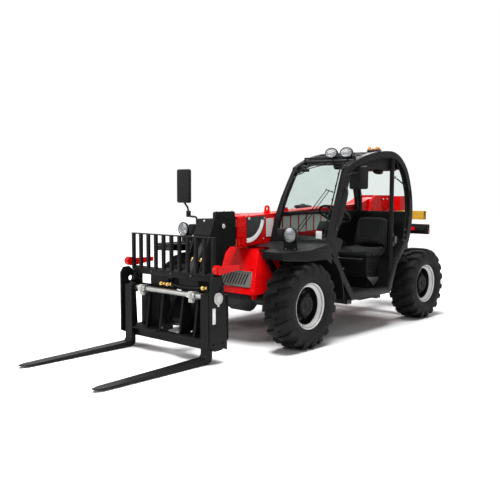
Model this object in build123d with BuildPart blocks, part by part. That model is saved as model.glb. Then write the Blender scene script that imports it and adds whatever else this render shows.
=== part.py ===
from build123d import *
import os
from math import atan2, cos, degrees, hypot, pi, radians, sin, sqrt

# Compact telehandler: a central telescopic boom between a cab on the left and an engine
# hood on the right, four steered wheels and a carriage of two floating forks.
# +Y runs to the rear, +X to the machine's left and +Z up, in millimetres. The origin is on
# the ground, in the middle of the length from the fork tips to the rear.

# ---------------------------------------------------------------- driving dimensions
fork_reach = 2230.0          # front axle to the fork tips
wheelbase = 2300.0
rear_overhang = 535.0        # rear axle to the back of the counterweight
rear_reach = wheelbase + rear_overhang
track = 1503.0
front_axle_y = (fork_reach - rear_reach) / 2
rear_axle_y = front_axle_y + wheelbase
running_fit = 0.05           # radial clearance of a pin in its bore
seat_gap = 0.3               # between pieces that rest on or in each other


def aft(distance):
    """Y of a place that lies this far behind the front axle."""
    return front_axle_y + distance


def side(points):
    """Side-view points, given as (distance behind the front axle, height)."""
    return [(aft(behind), height) for behind, height in points]


def side_plate(points, x_low, x_high, mode=Mode.ADD):
    """Extrude a closed side-view outline from x_low to x_high."""
    with BuildSketch(Plane.YZ.offset(x_low)) as outline:
        with BuildLine():
            Polyline(side(points), close=True)
        make_face()
    extrude(outline.sketch, amount=x_high - x_low, mode=mode)


def box(x_range, behind_range, z_range, mode=Mode.ADD):
    """A block between two corners, with Y counted from the front axle."""
    size = [high - low for low, high in (x_range, behind_range, z_range)]
    centre = ((x_range[0] + x_range[1]) / 2, aft((behind_range[0] + behind_range[1]) / 2),
              (z_range[0] + z_range[1]) / 2)
    with Locations(centre):
        Box(*size, mode=mode)


def cross_cylinder(behind, height, radius, x_low, x_high, mode=Mode.ADD):
    """A cylinder along X."""
    with BuildSketch(Plane.YZ.offset(x_low)) as circle:
        with Locations((aft(behind), height)):
            Circle(radius)
    extrude(circle.sketch, amount=x_high - x_low, mode=mode)


def prism(radius, sides, x_low, x_high, mode=Mode.ADD):
    """A many-sided bar along X, about the axis through the origin."""
    with BuildSketch(Plane.YZ.offset(x_low)) as section:
        RegularPolygon(radius, sides)
    extrude(section.sketch, amount=x_high - x_low, mode=mode)


def rim_edges(piece, x, radius):
    """The edges across X in the plane at x that lie this far from the axis."""
    flat = piece.edges().filter_by_position(Axis.X, x - 0.01, x + 0.01)
    return flat.filter_by(lambda edge: abs(hypot(edge.center().Y, edge.center().Z) - radius) < 1)


def rod(start, end, radius, mode=Mode.ADD):
    """A round bar between two points."""
    run = Vector(*end) - Vector(*start)
    with BuildSketch(Plane(origin=start, z_dir=run)) as circle:
        Circle(radius)
    extrude(circle.sketch, amount=run.length, mode=mode)


def save(piece, name):
    """Label a finished piece and write it as parts/name.step."""
    piece.label = name
    export_step(piece, f"parts/{name}.step")


os.makedirs("parts", exist_ok=True)

# ---------------------------------------------------------------- wheels
tyre_radius = 420.0
tyre_width = 307.0
lug_height = 22.0
lug_pairs = 15
lug_width = 66.0             # around the tyre
lug_lean = 52.0              # how far a lug trails from the middle to the shoulder
lug_past_middle = 14.0
lug_foot_radius = 335.0
bead_radius = 206.0
bead_half_width = 112.0
flange_radius = 222.5
flange_thickness = 12.0
dish_depth = 158.0           # outer flange to the face of the wheel disc
hub_radius = 104.0
hub_height = 60.0
hub_edge = 14.0
pocket_radius = 200.0
spindle_radius = 35.0
wheel_z = tyre_radius
disc_thickness = 14.0
tyre_sides = 24
rim_sides = 20
shoulder_drop = 38.0
rim_half_width = bead_half_width + flange_thickness
disc_x = rim_half_width - dish_depth

lug_top = sqrt(tyre_radius ** 2 - (lug_width / 2 + lug_lean / 2) ** 2)
carcass_radius = tyre_radius - lug_height
half_tread = tyre_width / 2
belly_x = half_tread - 3
bead_face_x = bead_half_width - seat_gap
recess_radius = flange_radius + 16

with BuildPart() as lug:
    with BuildSketch(Plane.XY.offset(lug_foot_radius)) as lug_plan:
        with BuildLine():
            Polyline(
                (-lug_past_middle, -lug_width / 2 + lug_lean / 2),
                (-lug_past_middle, lug_width / 2 + lug_lean / 2),
                (half_tread, lug_width / 2 - lug_lean / 2),
                (half_tread, -lug_width / 2 - lug_lean / 2),
                close=True,
            )
        make_face()
    extrude(amount=lug_top - lug_foot_radius)

with BuildPart() as tyre:
    prism(carcass_radius, tyre_sides, -belly_x, belly_x)
    for sign in (1, -1):
        chamfer(rim_edges(tyre, sign * belly_x, carcass_radius * cos(pi / tyre_sides)), shoulder_drop)
        prism(recess_radius, tyre_sides, *sorted((sign * bead_face_x, sign * (belly_x + 1))), mode=Mode.SUBTRACT)
    prism(bead_radius / cos(pi / tyre_sides), tyre_sides, -half_tread, half_tread, mode=Mode.SUBTRACT)
    lug_step = 360 / lug_pairs
    with Locations(*[Location((0, 0, 0), (n * lug_step, 0, 0)) for n in range(lug_pairs)]):
        add(lug.part)
    with Locations(*[Location((0, 0, 0), ((n + 0.5) * lug_step, 0, 180)) for n in range(lug_pairs)]):
        add(lug.part)

with BuildPart() as rim:
    prism(bead_radius - seat_gap, rim_sides, -bead_half_width - 1, bead_half_width + 1)
    for sign in (1, -1):
        prism(flange_radius, rim_sides, *sorted((sign * bead_half_width, sign * rim_half_width)))
    # dish on the outside, pocket on the inside, and the hub that stands in the dish
    prism(pocket_radius, rim_sides, disc_x, rim_half_width + 1, mode=Mode.SUBTRACT)
    prism(pocket_radius, rim_sides, -rim_half_width - 1, disc_x - disc_thickness, mode=Mode.SUBTRACT)
    prism(hub_radius, rim_sides, disc_x - 1, disc_x + hub_height)
    chamfer(rim_edges(rim, disc_x + hub_height, hub_radius * cos(pi / rim_sides)), hub_edge)
    with Locations(Plane(origin=(disc_x - disc_thickness, 0, 0), z_dir=(1, 0, 0))):
        Cylinder(spindle_radius + running_fit, hub_height + disc_thickness - 12,
                 align=(Align.CENTER, Align.CENTER, Align.MIN), mode=Mode.SUBTRACT)

# ---------------------------------------------------------------- axles and knuckles
kingpin_x = 560.0
kingpin_radius = 20.0
axle_tube_radius = 60.0
axle_boss_radius = 50.0
axle_boss_height = 140.0
yoke_gap = 5.0
yoke_arm = 30.0
yoke_half_depth = 58.0
hub_case_radius = 100.0
differential_radius = 140.0
spine_bottom = 575.0
spine_half_width = 117.0
spine_plate = 22.0
axle_pad_inner = 70.0

wheel_back_x = track / 2 + disc_x - disc_thickness

yoke_half = axle_boss_height / 2 + yoke_gap + yoke_arm
yoke_back = kingpin_x + axle_boss_radius + 12
yoke_web = 30.0
housing_sides = 16
differential_half_width = 185.0
differential_shoulder = 105.0

with BuildPart() as hub_case:
    prism(hub_case_radius, housing_sides, yoke_back + yoke_web, wheel_back_x - 5)

with BuildPart() as axle_housing:
    prism(axle_boss_radius - 6, housing_sides, -kingpin_x, kingpin_x)
    prism(axle_tube_radius, housing_sides, 62 - kingpin_x, kingpin_x - 62)
    case_end = differential_half_width - 10
    prism(differential_radius, housing_sides, -case_end, case_end)
    for sign in (1, -1):
        chamfer(rim_edges(axle_housing, sign * case_end, differential_radius * cos(pi / housing_sides)),
                case_end - differential_shoulder)

with BuildPart() as knuckle:
    box((kingpin_x - 44, yoke_back + yoke_web), (-yoke_half_depth, yoke_half_depth),
        (wheel_z - yoke_half, wheel_z + yoke_half))
    box((kingpin_x - 60, yoke_back), (-yoke_half_depth - 10, yoke_half_depth + 10),
        (wheel_z - yoke_half + yoke_arm, wheel_z + yoke_half - yoke_arm), mode=Mode.SUBTRACT)
    for up in (1, -1):
        rod((kingpin_x, aft(0), wheel_z + up * (yoke_half - 2)),
            (kingpin_x, aft(0), wheel_z + up * (axle_boss_height / 2 - 36)), kingpin_radius)
    with Locations((0, aft(0), wheel_z)):
        add(hub_case.part)
    cross_cylinder(0, wheel_z, spindle_radius, wheel_back_x - 6, wheel_back_x + hub_height)

with BuildPart() as front_axle:
    with Locations((0, aft(0), wheel_z)):
        add(axle_housing.part)
    with Locations(*[(x, aft(0), wheel_z) for x in (-kingpin_x, kingpin_x)]):
        Cylinder(axle_boss_radius, axle_boss_height)
        Cylinder(kingpin_radius + running_fit, axle_boss_height, mode=Mode.SUBTRACT)
    for sign in (1, -1):
        x_pad = sorted((sign * axle_pad_inner, sign * spine_half_width))
        box(x_pad, (-90, 90), (wheel_z + 20, spine_bottom))

save(front_axle.part, "front_axle")
save(Pos(0, wheelbase, 0) * front_axle.part, "rear_axle")

corners = [
    # name, turn about Z, distance behind the front axle
    ("front_left", 0, 0.0),
    ("front_right", 180, 0.0),
    ("rear_left", 0, wheelbase),
    ("rear_right", 180, wheelbase),
]
knuckle_at_origin = Pos(0, -aft(0), 0) * knuckle.part
for corner, turn, behind in corners:
    at_axle = Pos(0, aft(behind), 0) * Rot(0, 0, turn)
    at_wheel = at_axle * Pos(track / 2, 0, wheel_z)
    save(at_axle * knuckle_at_origin, f"knuckle_{corner}")
    save(at_wheel * tyre.part, f"tyre_{corner}")
    save(at_wheel * rim.part, f"rim_{corner}")

# ---------------------------------------------------------------- boom geometry
boom_slope = 3.0             # degrees, falling to the front
boom_half_width = 110.0
boom_half_height = 149.0
boom_wall = 10.0
boom_mouth = -205.0          # behind the front axle
boom_tail = wheelbase + 360
boom_axis_height = 1102.0    # of the centre line, at boom_axis_place
boom_axis_place = -190.0
boom_pivot = (wheelbase + 240, 1360.0)
boom_pin_radius = 45.0
inner_gap = 8.0
inner_wall = 9.0
inner_tail = wheelbase - 400
inner_nose = -330.0


def boom_height_at(behind, above=0.0):
    """Height of the boom's centre line, plus an offset square to it."""
    rise = (behind - boom_axis_place) * sin(radians(boom_slope)) / cos(radians(boom_slope))
    return boom_axis_height + rise + above / cos(radians(boom_slope))


def boom_band(front, rear, low, high):
    """A side-view band that follows the boom's slope."""
    return [(front, boom_height_at(front, low)), (rear, boom_height_at(rear, low)),
            (rear, boom_height_at(rear, high)), (front, boom_height_at(front, high))]


# lift cylinder: its lower pin is as far from the boom's pivot as its upper pin
lift_eye = (wheelbase - 510, 985.0)
lift_angle = 62.0            # between the two pins, seen from the boom's pivot
lift_range = 65.0
lift_arm = hypot(lift_eye[0] - boom_pivot[0], lift_eye[1] - boom_pivot[1])
lift_eye_angle = degrees(atan2(boom_pivot[1] - lift_eye[1], boom_pivot[0] - lift_eye[0]))
lift_base = (boom_pivot[0] - lift_arm * cos(radians(lift_eye_angle + lift_angle)),
             boom_pivot[1] - lift_arm * sin(radians(lift_eye_angle + lift_angle)))
lift_barrel_radius = 55.0
lift_rod_radius = 32.0
lift_pin_radius = 25.0
lift_eye_radius = 44.0

# ---------------------------------------------------------------- chassis
spine_top = 900.0
belly_bottom = 340.0
rear_foot = 460.0
ballast_top = 905.0
cab_floor_height = 390.0
tower_inner = 117.0
tower_outer = 147.0
tower_top = 1470.0
counterweight_front = wheelbase + 350
nose_top = 922.0
nose_bottom = 500.0
nose_wall = 12.0
nose_front = -260.0
nose_back = 80.0
nose_foot_width = 760.0
nose_head_width = 400.0

fender_top = 955.0
fender_skin = 12.0
hood_inner = -136.3
hood_outer = -860.0
hood_top = 1250.0
hood_foot = 480.0
hood_front = 480.0
hood_rear = wheelbase - 210
hood_skin = 20.0
hinge_x = -128.6             # hinge of the hood, on the rail beside the boom
hinge_z = hood_top + 10
hinge_pin_radius = 5.0
hinge_knuckle_radius = 8.5
hinge_rail = 15.0
rail_front = 600.0
rail_rear = wheelbase - 310
tower_front = wheelbase - 270
lamp_bar_back = 20.0         # of the tail lamps' arms, behind the counterweight's front

nose_head_front = 15.0
nose_head_back = 145.0


def nose_form(inset):
    """The nose's wedge, drawn inwards by a wall: wide and far forward at its foot."""
    foot_half = nose_foot_width / 2 - inset
    head_half = nose_head_width / 2 - inset
    top = nose_top - inset
    with BuildPart() as wedge:
        side_plate([(nose_front + inset, nose_bottom), (nose_back - inset, nose_bottom),
                    (nose_head_back - inset, top), (nose_head_front + inset, top)], -foot_half, foot_half)
        with BuildSketch(Plane.XZ.offset(-aft(nose_head_back))) as front_view:
            with BuildLine():
                Polyline((-foot_half, nose_bottom), (foot_half, nose_bottom), (head_half, top),
                         (-head_half, top), close=True)
            make_face()
        extrude(front_view.sketch, amount=nose_head_back - nose_front, mode=Mode.INTERSECT)
    return wedge.part


nose_outside = nose_form(0.0)
nose_inside = nose_form(nose_wall)
with BuildPart() as nose:
    add(nose_outside)
    add(nose_inside, mode=Mode.SUBTRACT)
    for sign in (1, -1):
        low, high = sorted((sign * (nose_foot_width / 2 - 30), sign * (nose_foot_width / 2 - 8)))
        side_plate([(nose_front + 2, nose_bottom + 22), (nose_front + 2, nose_bottom - 30),
                    (nose_front + 20, nose_bottom - 46), (nose_front + 46, nose_bottom - 46),
                    (nose_front + 64, nose_bottom - 30), (nose_front + 64, nose_bottom + 22)], low, high)
    box((-differential_half_width, differential_half_width), (0, nose_back + 60),
        (nose_bottom - 1, spine_bottom), mode=Mode.SUBTRACT)

with BuildPart() as chassis:
    for sign in (1, -1):
        low, high = sorted((sign * (spine_half_width - spine_plate), sign * spine_half_width))
        side_plate([(20, spine_bottom), (560, spine_bottom), (640, belly_bottom), (wheelbase - 560, belly_bottom),
                    (wheelbase - 500, spine_bottom), (wheelbase + 130, spine_bottom), (wheelbase + 170, rear_foot),
                    (counterweight_front, rear_foot), (counterweight_front, spine_top), (20, spine_top)], low, high)
        low, high = sorted((sign * (tower_inner - 1), sign * tower_outer))
        side_plate([(tower_front, 600), (wheelbase + 100, 600), (counterweight_front, 700),
                    (counterweight_front, ballast_top), (rear_reach - 5, ballast_top), (rear_reach - 5, 1300),
                    (rear_reach - 95, tower_top), (wheelbase + 30, tower_top), (wheelbase - 70, 1400)],
                   low, high)
    inner = spine_half_width - spine_plate + 1
    box((-inner, inner), (20, 560), (spine_bottom, spine_bottom + 14))
    box((-inner, inner), (640, wheelbase - 560), (belly_bottom, belly_bottom + 14))
    box((-inner, inner), (20, 1200), (spine_top - 14, spine_top))
    # boom pivot pin and lower pin of the lift cylinder
    cross_cylinder(*boom_pivot, boom_pin_radius, -tower_outer - 12, tower_outer + 12)
    cross_cylinder(*lift_base, lift_pin_radius, -spine_half_width - 6, spine_half_width + 6)
    # rear cross box, behind the boom's tail, and the arms of the tail lamps
    box((-283, 283), (rear_reach - 135, rear_reach - 5), (1275, tower_top - 10))
    for sign in (1, -1):
        box(sorted((sign * (tower_outer - 1), sign * 520)),
            (counterweight_front, counterweight_front + lamp_bar_back), (1030, 1070))
    # rail beside the boom, with the hinge pin of the hood
    rail_x = (hood_inner + seat_gap, hood_inner + hinge_rail)
    for place in (rail_front + 100, rail_rear - 150):
        box((rail_x[0], -spine_half_width + 2), (place, place + 70), (830, spine_top))
        box(rail_x, (place, place + 70), (830, hood_top))
    box(rail_x, (rail_front, rail_rear), (hood_top - 60, hood_top))
    for place in (rail_front, (rail_front + rail_rear) / 2, rail_rear):
        box(rail_x, (place - 15, place + 15), (hood_top - 1, hinge_z + hinge_knuckle_radius))
    rod((hinge_x, aft(rail_front), hinge_z), (hinge_x, aft(rail_rear), hinge_z), hinge_pin_radius)
    # brackets under the fenders
    for sign in (1, -1):
        box(sorted((sign * inner, sign * 345)), (180, 230), (860, fender_top - fender_skin - seat_gap))
    # outriggers that carry the cab, and the engine and its hood
    for place in (800, 1380):
        box((inner, 760), (place, place + 80), (belly_bottom - 10, cab_floor_height))
        box((-800, -inner), (place, place + 80), (420, hood_foot))
    box((-850, -800), (650, wheelbase - 620), (420, hood_foot))
    add(nose.part)
save(chassis.part, "chassis")

# ---------------------------------------------------------------- boom
head_half_width = 115.0
head_plate = 25.0
head_back = -225.0
tilt_pivot = (-880.0, 290.0)
tilt_pin_radius = 28.0
tilt_top = (-410.0, 1168.0)      # the tilt cylinder's upper pin, in the head
tilt_eye = (-850.0, 588.0)       # its rod's eye, on the carriage
tilt_barrel_radius = 42.0
tilt_rod_radius = 26.0
tilt_pin = 22.0
tilt_eye_radius = 34.0

eye_place = 385.0
eye_rise = 48.0
eye_round = 36.0
eye_hole = 19.0
prop_lug_place = 673.0

with BuildPart() as boom_outer:
    side_plate(boom_band(boom_mouth, boom_tail, -boom_half_height, boom_half_height),
               -boom_half_width, boom_half_width)
    # heavier collar at the mouth, and the raised cheeks round the pivot
    side_plate(boom_band(boom_mouth, boom_mouth + 112, -boom_half_height, boom_half_height + 9),
               -boom_half_width - 5, boom_half_width + 5)
    hump_front = boom_pivot[0] - 560
    side_plate([(hump_front, boom_height_at(hump_front, boom_half_height - 20)),
                (boom_tail, boom_height_at(boom_tail, 100)),
                (boom_tail - 10, boom_pivot[1] + 30), (boom_pivot[0] + 50, boom_pivot[1] + 78),
                (boom_pivot[0] - 60, boom_pivot[1] + 84), (hump_front + 220, boom_pivot[1] + 60)],
               -boom_half_width, boom_half_width)
    side_plate(boom_band(boom_mouth - 1, boom_tail - 300, -boom_half_height + boom_wall,
                         boom_half_height - boom_wall),
               -boom_half_width + boom_wall, boom_half_width - boom_wall, mode=Mode.SUBTRACT)
    # ears for the lift cylinder's rod
    for sign in (1, -1):
        low, high = sorted((sign * 46, sign * 68))
        side_plate([(lift_eye[0] - 130, boom_height_at(lift_eye[0] - 130, 5 - boom_half_height)),
                    (lift_eye[0] - 40, lift_eye[1] - 40), (lift_eye[0] + 40, lift_eye[1] - 40),
                    (lift_eye[0] + 130, boom_height_at(lift_eye[0] + 130, 5 - boom_half_height))], low, high)
    # wear pads at the mouth
    pad = boom_band(boom_mouth, boom_mouth + 60, -boom_half_height + boom_wall - 1,
                    -boom_half_height + boom_wall + inner_gap - seat_gap)
    side_plate(pad, -60, 60)
    pad = boom_band(boom_mouth, boom_mouth + 60, boom_half_height - boom_wall - inner_gap + seat_gap,
                    boom_half_height - boom_wall + 1)
    side_plate(pad, -60, 60)
    # lifting eye with a round top, and the lug of the boom's safety prop behind it
    eye_foot = boom_height_at(eye_place - 1, boom_half_height - 4)
    eye_centre = eye_foot + eye_rise
    side_plate([(eye_place - eye_round - 8, eye_foot), (eye_place + eye_round + 8, eye_foot),
                (eye_place + eye_round, eye_centre), (eye_place - eye_round, eye_centre)], -9, 9)
    cross_cylinder(eye_place, eye_centre, eye_round, -9, 9)
    cross_cylinder(eye_place, eye_centre, eye_hole, -10, 10, mode=Mode.SUBTRACT)
    prop_foot = boom_height_at(prop_lug_place, boom_half_height - 4)
    side_plate([(prop_lug_place - 45, prop_foot), (prop_lug_place + 45, prop_foot),
                (prop_lug_place + 20, prop_foot + 44), (prop_lug_place - 20, prop_foot + 44)], 20, 32)
    cross_cylinder(*boom_pivot, boom_pin_radius + running_fit, -boom_half_width - 6, boom_half_width + 6,
                   mode=Mode.SUBTRACT)
save(boom_outer.part, "boom_outer")

with BuildPart() as angle_dial:
    side_plate([(-62, 1246), (222, 1256), (214, 1170), (160, 1080), (80, 1015), (-60, 985)],
               boom_half_width + seat_gap, boom_half_width + 6)
save(angle_dial.part, "angle_dial")

inner_half_width = boom_half_width - boom_wall - inner_gap
inner_half_height = boom_half_height - boom_wall - inner_gap

with BuildPart() as boom_inner:
    side_plate(boom_band(inner_nose, inner_tail, -inner_half_height, inner_half_height),
               -inner_half_width, inner_half_width)
    side_plate(boom_band(inner_nose - 1, inner_tail + 1, -inner_half_height + inner_wall,
                         inner_half_height - inner_wall),
               -inner_half_width + inner_wall, inner_half_width - inner_wall, mode=Mode.SUBTRACT)
    # wear pads at the tail
    for low, high in ((-inner_half_height - inner_gap + seat_gap, -inner_half_height + 1),
                      (inner_half_height - 1, inner_half_height + inner_gap - seat_gap)):
        side_plate(boom_band(inner_tail - 120, inner_tail, low, high), -60, 60)
    # head: two cheeks that hang forward and down to the carriage's pivot
    head_outline = [(head_back, 1226), (-525, 1240), (-590, 1076), (-770, 610), (-935, 320), (-925, 250),
                    (-850, 232), (-650, 400), (-430, 760), (-352, 965), (head_back, 975)]
    for sign in (1, -1):
        low, high = sorted((sign * (head_half_width - head_plate), sign * head_half_width))
        side_plate(head_outline, low, high)
    cheek_gap = head_half_width - head_plate + 1
    side_plate([(-525, 1240), (-590, 1076), (-574, 1076), (-511, 1226),
                (head_back, 1212), (head_back, 1226)], -cheek_gap, cheek_gap)
    side_plate([(-352, 965), (-430, 760), (-650, 400), (-640, 388), (-416, 755), (-338, 960)],
               -cheek_gap, cheek_gap)
    cross_cylinder(*tilt_top, 38, -head_half_width - 8, -cheek_gap)
    cross_cylinder(*tilt_top, 38, cheek_gap, head_half_width + 8)
    cross_cylinder(*tilt_top, tilt_pin, -head_half_width - 8, head_half_width + 8)
    cross_cylinder(*tilt_pivot, tilt_pin_radius + running_fit, -head_half_width - 1, head_half_width + 1,
                   mode=Mode.SUBTRACT)
    # guard over the hoses on top of the head
    side_plate([(-495, 1238), (-495, 1300), (-480, 1310), (-235, 1310), (-222, 1298), (-222, 1228)], -100, 100)
save(boom_inner.part, "boom_inner")

# ---------------------------------------------------------------- cylinders
def cylinder_pair(base, eye, barrel_radius, rod_radius, eye_radius, half_width, pin_radius, barrel_end,
                  rod_start, prefix):
    """A barrel on its base pin, and its rod, which ends in an open eye."""
    start = Vector(0, aft(base[0]), base[1])
    end = Vector(0, aft(eye[0]), eye[1])
    way = (end - start).normalized()
    stop = start + way * ((end - start).length - barrel_end)
    with BuildPart() as barrel:
        rod(tuple(start + way * 20), tuple(stop), barrel_radius)
        cross_cylinder(*base, eye_radius + 4, -half_width, half_width)
        rod(tuple(start + way * (eye_radius + 40)), tuple(stop + way), rod_radius + running_fit, mode=Mode.SUBTRACT)
        cross_cylinder(*base, pin_radius + running_fit, -half_width - 80, half_width + 80, mode=Mode.SUBTRACT)
    with BuildPart() as piston_rod:
        rod(tuple(start + way * rod_start), tuple(end - way * 12), rod_radius)
        cross_cylinder(*eye, eye_radius, -half_width, half_width)
    save(barrel.part, f"{prefix}_cylinder")
    save(piston_rod.part, f"{prefix}_rod")


cylinder_pair(lift_base, lift_eye, lift_barrel_radius, lift_rod_radius, lift_eye_radius, 40.0, lift_pin_radius,
              100.0, 96.0, "lift")
cylinder_pair(tilt_top, tilt_eye, tilt_barrel_radius, tilt_rod_radius, tilt_eye_radius, 30.0, tilt_pin,
              103.0, 129.0, "tilt")

# ---------------------------------------------------------------- carriage and forks
shaft = (-1000.0, 578.0)
shaft_radius = 25.0
carriage_half = 625.0
carriage_plate = 20.0
fork_side_gap = 30.0         # fork to the carriage's side plate
fork_width = 100.0
fork_centre = carriage_half - carriage_plate - fork_side_gap - fork_width / 2
fork_thickness = 45.0
fork_face = -1065.0          # front of the shanks
fork_eye_radius = 42.0
fork_bottom = 12.0
beam_front = -950.0
beam_back = -925.0
beam_low = 600.0
beam_high = 780.0
window_middle = carriage_half - 225
window_half = 75.0
window_low = 617.0
window_high = 711.0
post_middle = carriage_half - 295
pivot_cheek = (125.0, 150.0)
tilt_ear = (49.0, 70.0)      # clear of the tilt cylinder's barrel
ear_gap_low = 599.0
ear_gap_high = 702.0
tilt_y, tilt_z = tilt_eye

with BuildPart() as carriage:
    # outer side plates, with a stepped lower edge
    for sign in (1, -1):
        low, high = sorted((sign * (carriage_half - carriage_plate), sign * carriage_half))
        side_plate([(-1085, 150), (-1040, 128), (-1010, 142), (-960, 118), (-930, 132), (-882, 112),
                    (-905, 516), (-935, 730), (-985, 772), (-1050, 768), (-1085, 720)], low, high)
        cross_cylinder(-970, 655, 26, low - 1, high + 1, mode=Mode.SUBTRACT)
    cross_cylinder(*shaft, shaft_radius + seat_gap, -carriage_half - 1, carriage_half + 1, mode=Mode.SUBTRACT)
    reach = carriage_half - carriage_plate + 1
    # lower beam and windowed upper beam
    box((-reach, reach), (-1019.7, -960), (112, 196))
    box((-reach, reach), (beam_front, beam_back), (beam_low, beam_high))
    for x in (-window_middle, window_middle):
        box((x - window_half, x + window_half), (beam_front - 1, beam_back + 1), (window_low, window_high),
            mode=Mode.SUBTRACT)
    box((-tilt_ear[1], tilt_ear[1]), (beam_front - 1, beam_back + 1), (ear_gap_low, ear_gap_high - 2),
        mode=Mode.SUBTRACT)
    # posts between the beams
    for x in (-post_middle, post_middle):
        side_plate([(-1010, 190), (-960, 190), (beam_back, beam_low + 5), (beam_back - 23, beam_low + 5)],
                   x - 12, x + 12)
    for sign in (1, -1):
        # pivot cheeks and the ears of the tilt cylinder
        low, high = sorted((sign * pivot_cheek[0], sign * pivot_cheek[1]))
        side_plate([(-1010, 190), (-960, 150), (-850, 225), (-830, 290), (-850, 350), (beam_back, 640),
                    (beam_back, beam_high), (beam_front, beam_high), (beam_front, beam_low)], low, high)
        low, high = sorted((sign * tilt_ear[0], sign * tilt_ear[1]))
        side_plate([(beam_back - 2, ear_gap_high), (beam_front, ear_gap_high), (beam_front, beam_high - 20),
                    (beam_back - 2, beam_high - 20), (tilt_y + 36, tilt_z + 52), (tilt_y + 40, tilt_z - 28),
                    (tilt_y - 20, tilt_z - 43), (tilt_y - 55, tilt_z + 52)], low, high)
    cross_cylinder(*tilt_pivot, tilt_pin_radius, -pivot_cheek[1] - 6, pivot_cheek[1] + 6)
save(carriage.part, "carriage")

with BuildPart() as fork_shaft:
    cross_cylinder(*shaft, shaft_radius, -carriage_half - 8, carriage_half + 8)
    for sign in (1, -1):
        low, high = sorted((sign * (carriage_half + seat_gap), sign * (carriage_half + 14)))
        cross_cylinder(*shaft, 42, low, high)
        cross_cylinder(*shaft, 40, sign * (post_middle + 10) - 20, sign * (post_middle + 10) + 20)
save(fork_shaft.part, "fork_shaft")

guard_bars = 11
guard_half = carriage_half - 62
guard_bar_width = 30.0
guard_low = 700.0
guard_top = 1104.0
with BuildPart() as load_guard:
    step = (2 * guard_half - guard_bar_width) / (guard_bars - 1)
    for n in range(guard_bars):
        x = -guard_half + guard_bar_width / 2 + n * step
        box((x - guard_bar_width / 2, x + guard_bar_width / 2), (-985, -965), (guard_low, guard_top))
    box((-guard_half, guard_half), (-990, -960), (guard_top - 8, guard_top))
    box((-guard_half, guard_half), (-985, beam_front - seat_gap), (guard_low, 775))
    for x in (-window_middle, window_middle):
        box((x - window_half, x + window_half), (-990, beam_front + 5), (guard_low - 1, window_high),
            mode=Mode.SUBTRACT)
save(load_guard.part, "load_guard")

lock_arm_outer = carriage_half - carriage_plate - 1
lock_arm_foot = beam_high + seat_gap
with BuildPart() as lock_arms:
    for sign in (1, -1):
        low, high = sorted((sign * (lock_arm_outer - 24), sign * lock_arm_outer))
        side_plate([(-1010, lock_arm_foot + 10), (beam_front, lock_arm_foot), (beam_back, lock_arm_foot),
                    (-700, lock_arm_foot + 26), (-700, lock_arm_foot + 66), (-1010, lock_arm_foot + 70)], low, high)
        low, high = sorted((sign * (lock_arm_outer - 24), sign * (carriage_half + 5)))
        cross_cylinder(-985, lock_arm_foot + 42, 42, low, high)
save(lock_arms.part, "lock_arms")

for name, sign in (("fork_left", 1), ("fork_right", -1)):
    low = sign * fork_centre - fork_width / 2
    high = sign * fork_centre + fork_width / 2
    with BuildPart() as fork:
        side_plate([(fork_face, shaft[1] + 30), (fork_face, fork_bottom + 70), (fork_face - 18, fork_bottom + 45),
                    (-fork_reach + 60, fork_bottom + 14), (-fork_reach, fork_bottom + 14),
                    (-fork_reach, fork_bottom + 6), (fork_face - 300, fork_bottom), (fork_face, fork_bottom),
                    (fork_face + fork_thickness - 8, fork_bottom + 14), (fork_face + fork_thickness, fork_bottom + 40),
                    (fork_face + fork_thickness, shaft[1] + 30)], low, high)
        cross_cylinder(*shaft, fork_eye_radius, low, high)
        cross_cylinder(*shaft, shaft_radius + 2 * running_fit, low - 1, high + 1, mode=Mode.SUBTRACT)
        tip = sign * fork_centre
        for turn in (1, -1):
            with BuildSketch(Plane.XY) as corner_cut:
                with BuildLine():
                    Polyline((tip + turn * fork_width / 2 + turn, aft(-fork_reach) - 1),
                             (tip + turn * (fork_width / 2 - 28), aft(-fork_reach) - 1),
                             (tip + turn * fork_width / 2 + turn, aft(-fork_reach + 70)), close=True)
                make_face()
            extrude(corner_cut.sketch, amount=fork_thickness * 4, mode=Mode.SUBTRACT)
    save(fork.part, name)

# ---------------------------------------------------------------- cab
cab_right = 125.0
cab_left = 860.0
cab_wall = 45.0
cab_frame_bar = 68.0
cab_belt = 1285.0
pane = 10.0
pane_inset = 16.0            # from the cab's outline to the glass
door_x = cab_left - 62.0
window_x = (cab_right + 58.0, cab_left - 62.0)


cab_brow = (640.0, 1765.0)           # top of the windscreen
cab_summit = (1450.0, 1952.0)
cab_shoulder = (1890.0, 1646.0)
cab_waist = (1889.0, 937.0)
cab_toe = (735.0, cab_floor_height)
cab_chin = (330.0, 960.0)            # foot of the windscreen


def roof_height_at(behind):
    """Height of the roof's top, in front of its summit: an arc from the brow to the summit."""
    run = cab_summit[0] - cab_brow[0]
    rise = cab_summit[1] - cab_brow[1]
    radius = (run ** 2 + rise ** 2) / (2 * rise)
    return cab_summit[1] - radius + sqrt(radius ** 2 - (cab_summit[0] - behind) ** 2)


def cab_outline(x, inset=0.0):
    """Side view of the cab in the plane at x, drawn inwards by an inset."""
    roof_middle = (cab_brow[0] + cab_summit[0]) / 2
    with BuildSketch(Plane.YZ.offset(x)) as outline:
        with BuildLine():
            Polyline(side([cab_toe, (505, 675), cab_chin, cab_brow]))
            ThreePointArc(*side([cab_brow, (roof_middle, roof_height_at(roof_middle)), cab_summit]))
            ThreePointArc(*side([cab_summit, (1728, 1861), cab_shoulder]))
            ThreePointArc(*side([cab_shoulder, (1968, 1275), cab_waist]))
            Polyline(side([cab_waist, (1640, 700), (1500, cab_floor_height), cab_toe]))
        make_face()
        if inset:
            offset(amount=-inset, kind=Kind.INTERSECTION)
    return outline.sketch


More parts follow.
